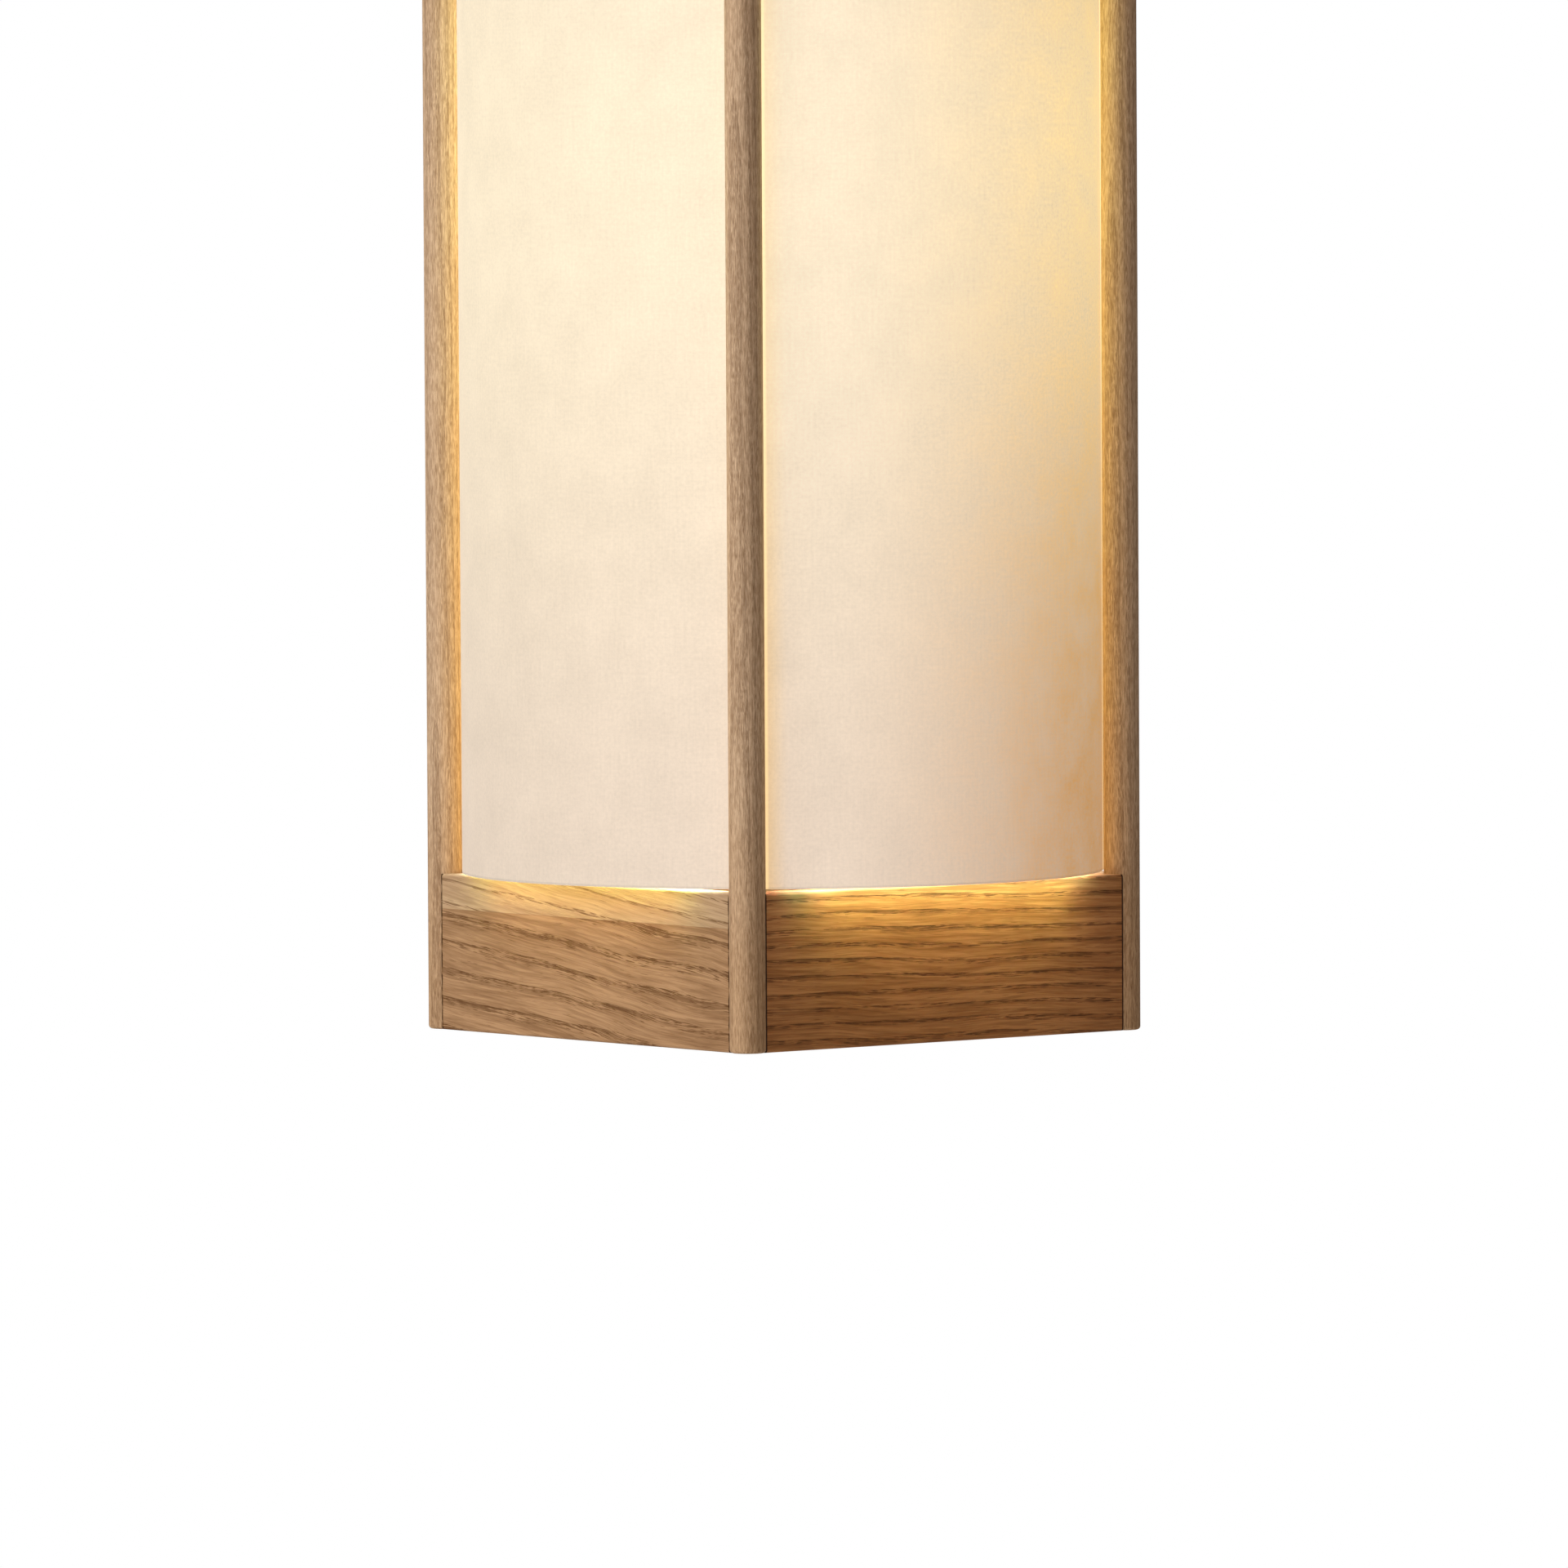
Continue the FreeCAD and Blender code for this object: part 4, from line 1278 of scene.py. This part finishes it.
@dataclass
class Hanger:
    """Bar across the upper frame, its screws, the threaded nipple, nuts, washers and cord gland."""

    shop: Workshop
    nipple_bore: float = 3.8 * MM
    nipple_pitch: float = 1.0 * MM
    nipple_thread: float = 0.45 * MM
    screw_head: float = 4.0 * MM
    screw_dome: float = 2.6 * MM
    screw_crown: float = 0.08 * MM
    screw_shank: float = 2.0 * MM
    screw_length: float = 10.0 * MM
    screw_point: float = 2.5 * MM
    screw_tip: float = 0.3 * MM
    screw_segments: int = 64
    dome_rings: int = 30
    recess_reach: float = 2.3 * MM
    recess_half: float = 0.5 * MM
    recess_depth: float = 1.3 * MM
    recess_side: float = 0.25 * MM
    recess_end: float = 0.5 * MM

    def nipple_skin(self) -> Skin:
        """Threaded tube.

        Returns:
            The tube's surface.
        """
        low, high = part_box("nipple")
        profile = Turning(pitch=self.nipple_pitch, segments=40, samples_per_turn=6)
        profile.thread(high.x, low.z, high.z, self.nipple_thread)
        return profile.to(self.nipple_bore, high.z).to(self.nipple_bore, low.z).skin()

    def recess(self, across: np.ndarray, along: np.ndarray) -> np.ndarray:
        """One bar of the cross: 1 within its half width and reach, falling to 0 over soft sides and ends."""
        side = np.clip((self.recess_half - np.abs(across)) / self.recess_side + 0.5, 0.0, 1.0)
        return side * np.clip((self.recess_reach - np.abs(along)) / self.recess_end + 0.5, 0.0, 1.0)

    def screw_rings(self) -> np.ndarray:
        """Rings of one round-headed cross-recessed screw, pointing down from its head's underside.

        The dome is a ball's cap: the root of its radius squared less the distance squared. The recess
        lowers it where a point lies within a bar of the cross.

        Returns:
            The rings, from the tip of the shank up to the top of the head.
        """
        ball = (self.screw_head ** 2 + self.screw_dome ** 2) / (2 * self.screw_dome)
        angle = np.linspace(0.0, 2 * np.pi, self.screw_segments, endpoint=False)[None, :]
        rim = np.linspace(self.screw_head, self.screw_crown, self.dome_rings)
        dome = np.sqrt(ball ** 2 - rim ** 2) - (ball - self.screw_dome)
        radius = np.concatenate([[self.screw_tip, self.screw_shank, self.screw_shank], rim])[:, None]
        shank = [-self.screw_length, self.screw_point - self.screw_length, 0.0]
        height = np.concatenate([shank, dome])[:, None] + 0.0 * angle
        x, y = radius * np.cos(angle), radius * np.sin(angle)
        sunk = np.maximum(self.recess(x, y), self.recess(y, x)) * (height > 0)
        floor = self.screw_dome - self.recess_depth
        height = np.where(sunk > 0, height - sunk * np.maximum(height - floor, 0.0), height)
        return np.stack([x, y, height], axis=-1)

    def screws_skin(self) -> Skin:
        """The four screws, each turned so that its head faces the middle of the frame.

        Returns:
            One surface of four closed screws.
        """
        low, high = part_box("hanger_screws")
        middle = (low.z + high.z) / 2
        underside = high.y - self.screw_length
        a, b, c = np.moveaxis(self.screw_rings(), -1, 0)
        screws = []
        for side in (-1.0, 1.0):
            for x in (low.x + self.screw_head, high.x - self.screw_head):
                moved = np.stack([x + side * a, side * (underside - c), middle + b], axis=-1)
                screws.append(Skin.round(moved, closed=False))
        return Skin.joined(screws)

    def build(self) -> None:
        """Build the threads and screws, and finish the rest."""
        self.shop.piece("nipple_tube", self.nipple_skin(), (ZINC,), Body.FRAME, "nipple_steel", "nipple")
        self.shop.piece(
            "bar_screws", self.screws_skin(), (ZINC,), Body.FRAME, "screw_steel", "hanger_screws"
        )
        self.shop.dress({
            "hanger_bar": POWDER_COAT,
            "nipple_washers": ZINC,
            "nipple_nuts": ZINC,
            "cord_gland": SATIN_BRASS,
            "gland_screw": ZINC,
        })


@dataclass
class Lampholder:
    """Cap, threaded skirt, shade ring and the electrical pieces inside."""

    shop: Workshop
    bore: float = 16.75 * MM
    skirt_radius: float = 19.75 * MM
    flange_thickness: float = 3.0 * MM
    edge: float = 0.4 * MM
    pitch: float = 2.6 * MM
    depth: float = 0.8 * MM

    def skirt_skin(self) -> Skin:
        """Threaded skirt under a plain flange.

        Returns:
            The skirt's surface.
        """
        low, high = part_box("holder_skirt")
        under = high.z - self.flange_thickness
        profile = Turning(pitch=self.pitch, segments=96, samples_per_turn=10)
        profile.to(self.skirt_radius - self.edge, low.z)
        profile.thread(self.skirt_radius, low.z + self.edge, under - self.edge, self.depth)
        profile.to(self.skirt_radius, under).to(high.x - self.edge, under).to(high.x, under + self.edge)
        profile.to(high.x, high.z - self.edge).to(high.x - self.edge, high.z)
        return profile.to(self.bore, high.z).to(self.bore, low.z).skin()

    def build(self) -> None:
        """Build the skirt and finish the rest."""
        self.shop.piece(
            "skirt_threaded", self.skirt_skin(), (MOULDING,), Body.FRAME, "holder_body", "holder_skirt"
        )
        self.shop.dress({
            "holder_cap": MOULDING,
            "shade_ring": MOULDING,
            "contact_block": GLAZE,
            "terminal_screws": BRIGHT_BRASS,
            "screw_shell": BRIGHT_BRASS,
            "centre_contact": BRIGHT_BRASS,
        })


@dataclass
class Lamp:
    """Screw-in lamp with a frosted globe."""

    shop: Workshop
    pitch: float = 3.629 * MM
    depth: float = 0.7 * MM
    wall: float = 0.8 * MM
    rim: float = 2.4 * MM
    middle: float = 0.3 * MM

    def cap_skin(self) -> Skin:
        """Screw cap with a rounded thread and a plain rim, whose top closes at a small ring in the middle.

        Returns:
            The cap's surface.
        """
        low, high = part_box("lamp_cap")
        inner, under = high.x - self.wall, high.z - self.wall
        profile = Turning(pitch=self.pitch, segments=72, samples_per_turn=12)
        profile.to(self.middle, under).to(inner, under).to(inner, low.z).to(high.x, low.z)
        profile.thread(high.x, low.z + self.rim, under, self.depth)
        return profile.to(inner, high.z).to(self.middle, high.z).skin(closed=False)

    def build(self) -> None:
        """Build the cap and finish the rest."""
        self.shop.piece("cap_threaded", self.cap_skin(), (NICKEL,), Body.LAMP, "lamp_cap_metal", "lamp_cap")
        low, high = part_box("lamp_globe")
        self.shop.dress({
            "lamp_globe": replace(GLOBE, neck=(low.z, high.z)),
            "lamp_housing": HOUSING,
            "lamp_led_board": SOLDER_MASK,
            "lamp_insulator": BLACK_GLASS,
            "lamp_contact": BRIGHT_BRASS,
        })


@dataclass(frozen=True)
class Spill:
    """A strip of lamp light that falls past an open end of the drum onto a board; metres and watts.

    It lies out from the board's outer face and above its edge, and aims at a spot that lies out from
    the face and below the edge. Its shift is along the board.
    """

    out: float
    above: float
    aim_out: float
    aim_below: float
    size: Tuple[float, float]
    spread: float
    power: float
    colour: Colour
    shift: float = 0.0


TOP_SPILL = Spill(-0.006, 0.008, -0.006, 0.0, (0.178, 0.010), math.pi, 0.12, (0.75, 0.95, 1.0))
FRONT_SPILLS = (
    TOP_SPILL,
    Spill(0.003, 0.014, 0.0, 0.003, (0.155, 0.004), math.pi, 0.2, (1.0, 0.44, 0.34), -0.004),
    Spill(0.003, 0.004, 0.0, 0.003, (0.160, 0.004), math.pi, 0.0288, (0.1, 1.0, 0.83), -0.004),
    Spill(0.009, 0.004, 0.0, 0.012, (0.142, 0.004), QUARTER, 0.0165, (0.64, 1.0, 0.28), -0.004),
)
OTHER_SPILLS = (
    TOP_SPILL,
    Spill(0.003, 0.014, 0.0, 0.003, (0.145, 0.004), math.pi, 0.068, (0.72, 1.0, 0.22)),
    Spill(0.003, 0.004, 0.0, 0.003, (0.145, 0.004), math.pi, 0.008, (0.9, 1.0, 0.55)),
    Spill(0.009, 0.004, 0.0, 0.012, (0.124, 0.004), QUARTER, 0.0035, (1.0, 0.2, 0.02)),
)


@dataclass
class Studio:
    """Camera, soft lights, the lamp light that spills past the shade, floor and world.

    The post glow's powers and colours go from the foot to the top, and its tints go round from the back
    right post.
    """

    shop: Workshop
    distance: float = 6.0
    bearing: float = math.radians(39.1)
    eye_above_foot: float = 0.4185
    pitch: float = math.radians(-3.019)
    pan: float = math.radians(0.006)
    roll: float = math.radians(-0.3)
    lens: float = 331.5
    sensor: float = 36.0
    far: float = 50.0
    soft_size: Tuple[float, float] = (1.6, 1.8)
    soft_rise: float = math.radians(12.0)
    key_turn: float = math.radians(60.0)
    key_distance: float = 3.0
    key_power: float = 57.0
    key_colour: Colour = (0.91, 0.97, 1.0)
    fill_turn: float = math.radians(8.0)
    fill_distance: float = 4.0
    fill_power: float = 21.0
    top_height: float = 2.6
    top_size: Tuple[float, float] = (1.0, 1.0)
    top_power: float = 26.0
    world_light: Colour = (0.355, 0.28, 0.215)
    world_lean: float = 0.74
    glow_low: Colour = (1.0, 0.66, 0.16)
    glow_high: Colour = (1.0, 0.98, 0.42)
    glow_power: Tuple[float, float] = (0.0074, 0.0112)
    glow_tints: Tuple[Colour, ...] = (WHITE, (0.94, 1.02, 1.3), WHITE, (0.84, 0.8, 0.5))
    glow_width: float = 44 * MM
    glow_gap: float = 0.2 * MM
    glow_steps: int = 6
    floor_height: float = -1.95
    floor_reach: float = 3.2
    floor_hole: float = 0.02
    floor_rings: int = 24
    floor_segments: int = 96

    def toward_camera(self) -> Vector:
        """Level direction from the lantern to the camera."""
        return Vector((-math.sin(self.bearing), -math.cos(self.bearing), 0.0))

    def camera(self) -> None:
        """Set the camera where the picture was taken from."""
        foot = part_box("post_front_left")[0].z
        data = bpy.data.cameras.new("camera")
        data.sensor_width = self.sensor
        data.lens = self.lens
        data.clip_end = self.far
        made = bpy.data.objects.new("camera", data)
        made.location = self.toward_camera() * self.distance + UP * (foot + self.eye_above_foot)
        heading = self.bearing + self.pan
        level = math.cos(self.pitch)
        ahead = Vector((math.sin(heading) * level, math.cos(heading) * level, math.sin(self.pitch)))
        made.rotation_mode = "QUATERNION"
        made.rotation_quaternion = ahead.to_track_quat("-Z", "Y") @ Quaternion(UP, self.roll)
        bpy.context.scene.collection.objects.link(made)
        bpy.context.scene.camera = made

    def area(
        self, name: str, place: Vector, toward: Vector, size: Tuple[float, float], power: float,
        colour: Colour,
    ) -> bpy.types.Object:
        """Add an area light that cameras don't see.

        Args:
            name: The light's name.
            place: Its middle.
            toward: The direction it shines in.
            size: Its width and height.
            power: Its power in watts.
            colour: Its colour.

        Returns:
            The light.
        """
        data = bpy.data.lights.new(name, "AREA")
        data.shape = "RECTANGLE"
        data.size, data.size_y = size
        data.energy = power
        data.color = colour
        made = bpy.data.objects.new(name, data)
        made.location = place
        made.rotation_mode = "QUATERNION"
        made.rotation_quaternion = toward.to_track_quat("-Z", "Y")
        made.visible_camera = False
        made.visible_glossy = False
        bpy.context.scene.collection.objects.link(made)
        return made

    def soft(self, name: str, turn: float, distance: float, power: float, colour: Colour) -> None:
        """Large soft light round the lantern.

        Args:
            name: The light's name.
            turn: Angle to the left of the camera.
            distance: Distance from the lantern's middle.
            power: Power in watts.
            colour: Colour.
        """
        middle = UP * (sum(p.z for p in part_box("post_front_left")) / 2)
        way = self.toward_camera()
        way.rotate(Quaternion(UP, -turn))
        way = way * math.cos(self.soft_rise) + UP * math.sin(self.soft_rise)
        self.area(name, middle + way * distance, -way, self.soft_size, power, colour)

    def spill(self) -> None:
        """Lamp light past the drum's open ends, onto the boards' tops and outer faces only."""
        boards = bpy.data.collections.new("boards")
        for side in Side:
            for tier in Tier:
                boards.objects.link(self.shop.nodes[f"{tier.value}_board_{side.value}"])
        face = -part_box("lower_board_front")[0].y
        edges = ((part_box("lower_board_front")[1].z, 1.0), (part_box("upper_board_front")[0].z, -1.0))
        for quarter, side in enumerate(Side):
            turn = Quaternion(UP, quarter * QUARTER)
            along = turn @ Vector((1, 0, 0))
            for edge, up in edges:
                for spill in FRONT_SPILLS if side is Side.FRONT else OTHER_SPILLS:
                    place = turn @ Vector((spill.shift, -face - spill.out, edge + up * spill.above))
                    target = turn @ Vector((spill.shift, -face - spill.aim_out, edge - up * spill.aim_below))
                    toward = (target - place).normalized()
                    made = self.area("spill", place, toward, spill.size, spill.power, spill.colour)
                    axes = Matrix((along, (-toward).cross(along), -toward)).transposed()
                    made.rotation_quaternion = axes.to_quaternion()
                    made.data.spread = spill.spread
                    made.light_linking.receiver_collection = boards

    def post_glow(self) -> None:
        """Lamp light through the drum onto the posts' inner sides, weaker and redder towards the foot."""
        low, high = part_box("shade_skin")
        length = (high.z - low.z) / self.glow_steps
        rise = np.linspace(0.0, 1.0, self.glow_steps)
        powers = np.interp(rise, (0.0, 1.0), self.glow_power)
        colours = np.outer(1.0 - rise, self.glow_low) + np.outer(rise, self.glow_high)
        for quarter, tint in enumerate(self.glow_tints):
            angle = (quarter + 0.5) * QUARTER
            out = Vector((math.cos(angle), math.sin(angle), 0.0))
            for step in range(self.glow_steps):
                place = out * (high.x + self.glow_gap) + UP * (low.z + length * (step + 0.5))
                colour = tuple(colours[step] * tint)
                self.area("post_glow", place, out, (self.glow_width, length), float(powers[step]), colour)

    def floor(self) -> None:
        """Round pale floor, far below: rings of points from the edge to a small hole in the middle."""
        radius = np.linspace(self.floor_reach, self.floor_hole, self.floor_rings)[:, None]
        angle = np.linspace(0.0, 2 * np.pi, self.floor_segments, endpoint=False)[None, :]
        level = np.full((self.floor_rings, self.floor_segments), self.floor_height)
        rings = np.stack([radius * np.cos(angle), radius * np.sin(angle), level], axis=-1)
        faces = Skin.net(self.floor_rings, self.floor_segments, False, True)
        made = Skin(rings.reshape(-1, 3), [faces]).to_object("floor")
        made.data.materials.append(self.shop.material(FloorFinish("studio_floor", self.floor_reach)))

    def world(self) -> None:
        """Soft light from all round, stronger from the left, seen as white by cameras, mirrors and glass."""
        made = bpy.data.worlds.new("studio")
        made.use_nodes = True
        made.node_tree.nodes.clear()
        w = Wiring(made.node_tree)
        left = self.toward_camera()
        left.rotate(Quaternion(UP, -QUARTER))
        around = w.node("TexCoord").outputs["Generated"]
        lean = w.node("VectorMath", {0: around, 1: tuple(left)}, operation="DOT_PRODUCT").outputs["Value"]
        light = w.tint(self.world_light, w.add(w.times(lean, self.world_lean), 1.0))
        sky = w.node("Background", {"Color": w.mix(w.seen(), light, WHITE)})
        w.node("OutputWorld", {"Surface": sky.outputs[0]})
        bpy.context.scene.world = made

    def build(self) -> None:
        """Set up everything round the lantern."""
        bpy.context.scene.view_settings.view_transform = "Standard"
        self.camera()
        self.soft("key", self.key_turn, self.key_distance, self.key_power, self.key_colour)
        self.soft("fill", self.fill_turn, self.fill_distance, self.fill_power, WHITE)
        self.area("top", UP * self.top_height, DOWN, self.top_size, self.top_power, self.key_colour)
        self.spill()
        self.post_glow()
        self.floor()
        self.world()
        log.info("studio set")


def main() -> None:
    """Dress the lantern and set the studio round it."""
    logging.basicConfig(level=logging.INFO, format="%(name)s: %(message)s")
    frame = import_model()
    shop = Workshop(frame)
    WoodenFrame(shop).dress()
    PaperDrum(shop).build()
    Hanger(shop).build()
    Lampholder(shop).build()
    Lamp(shop).build()
    Studio(shop).build()


if __name__ == "__main__":
    main()
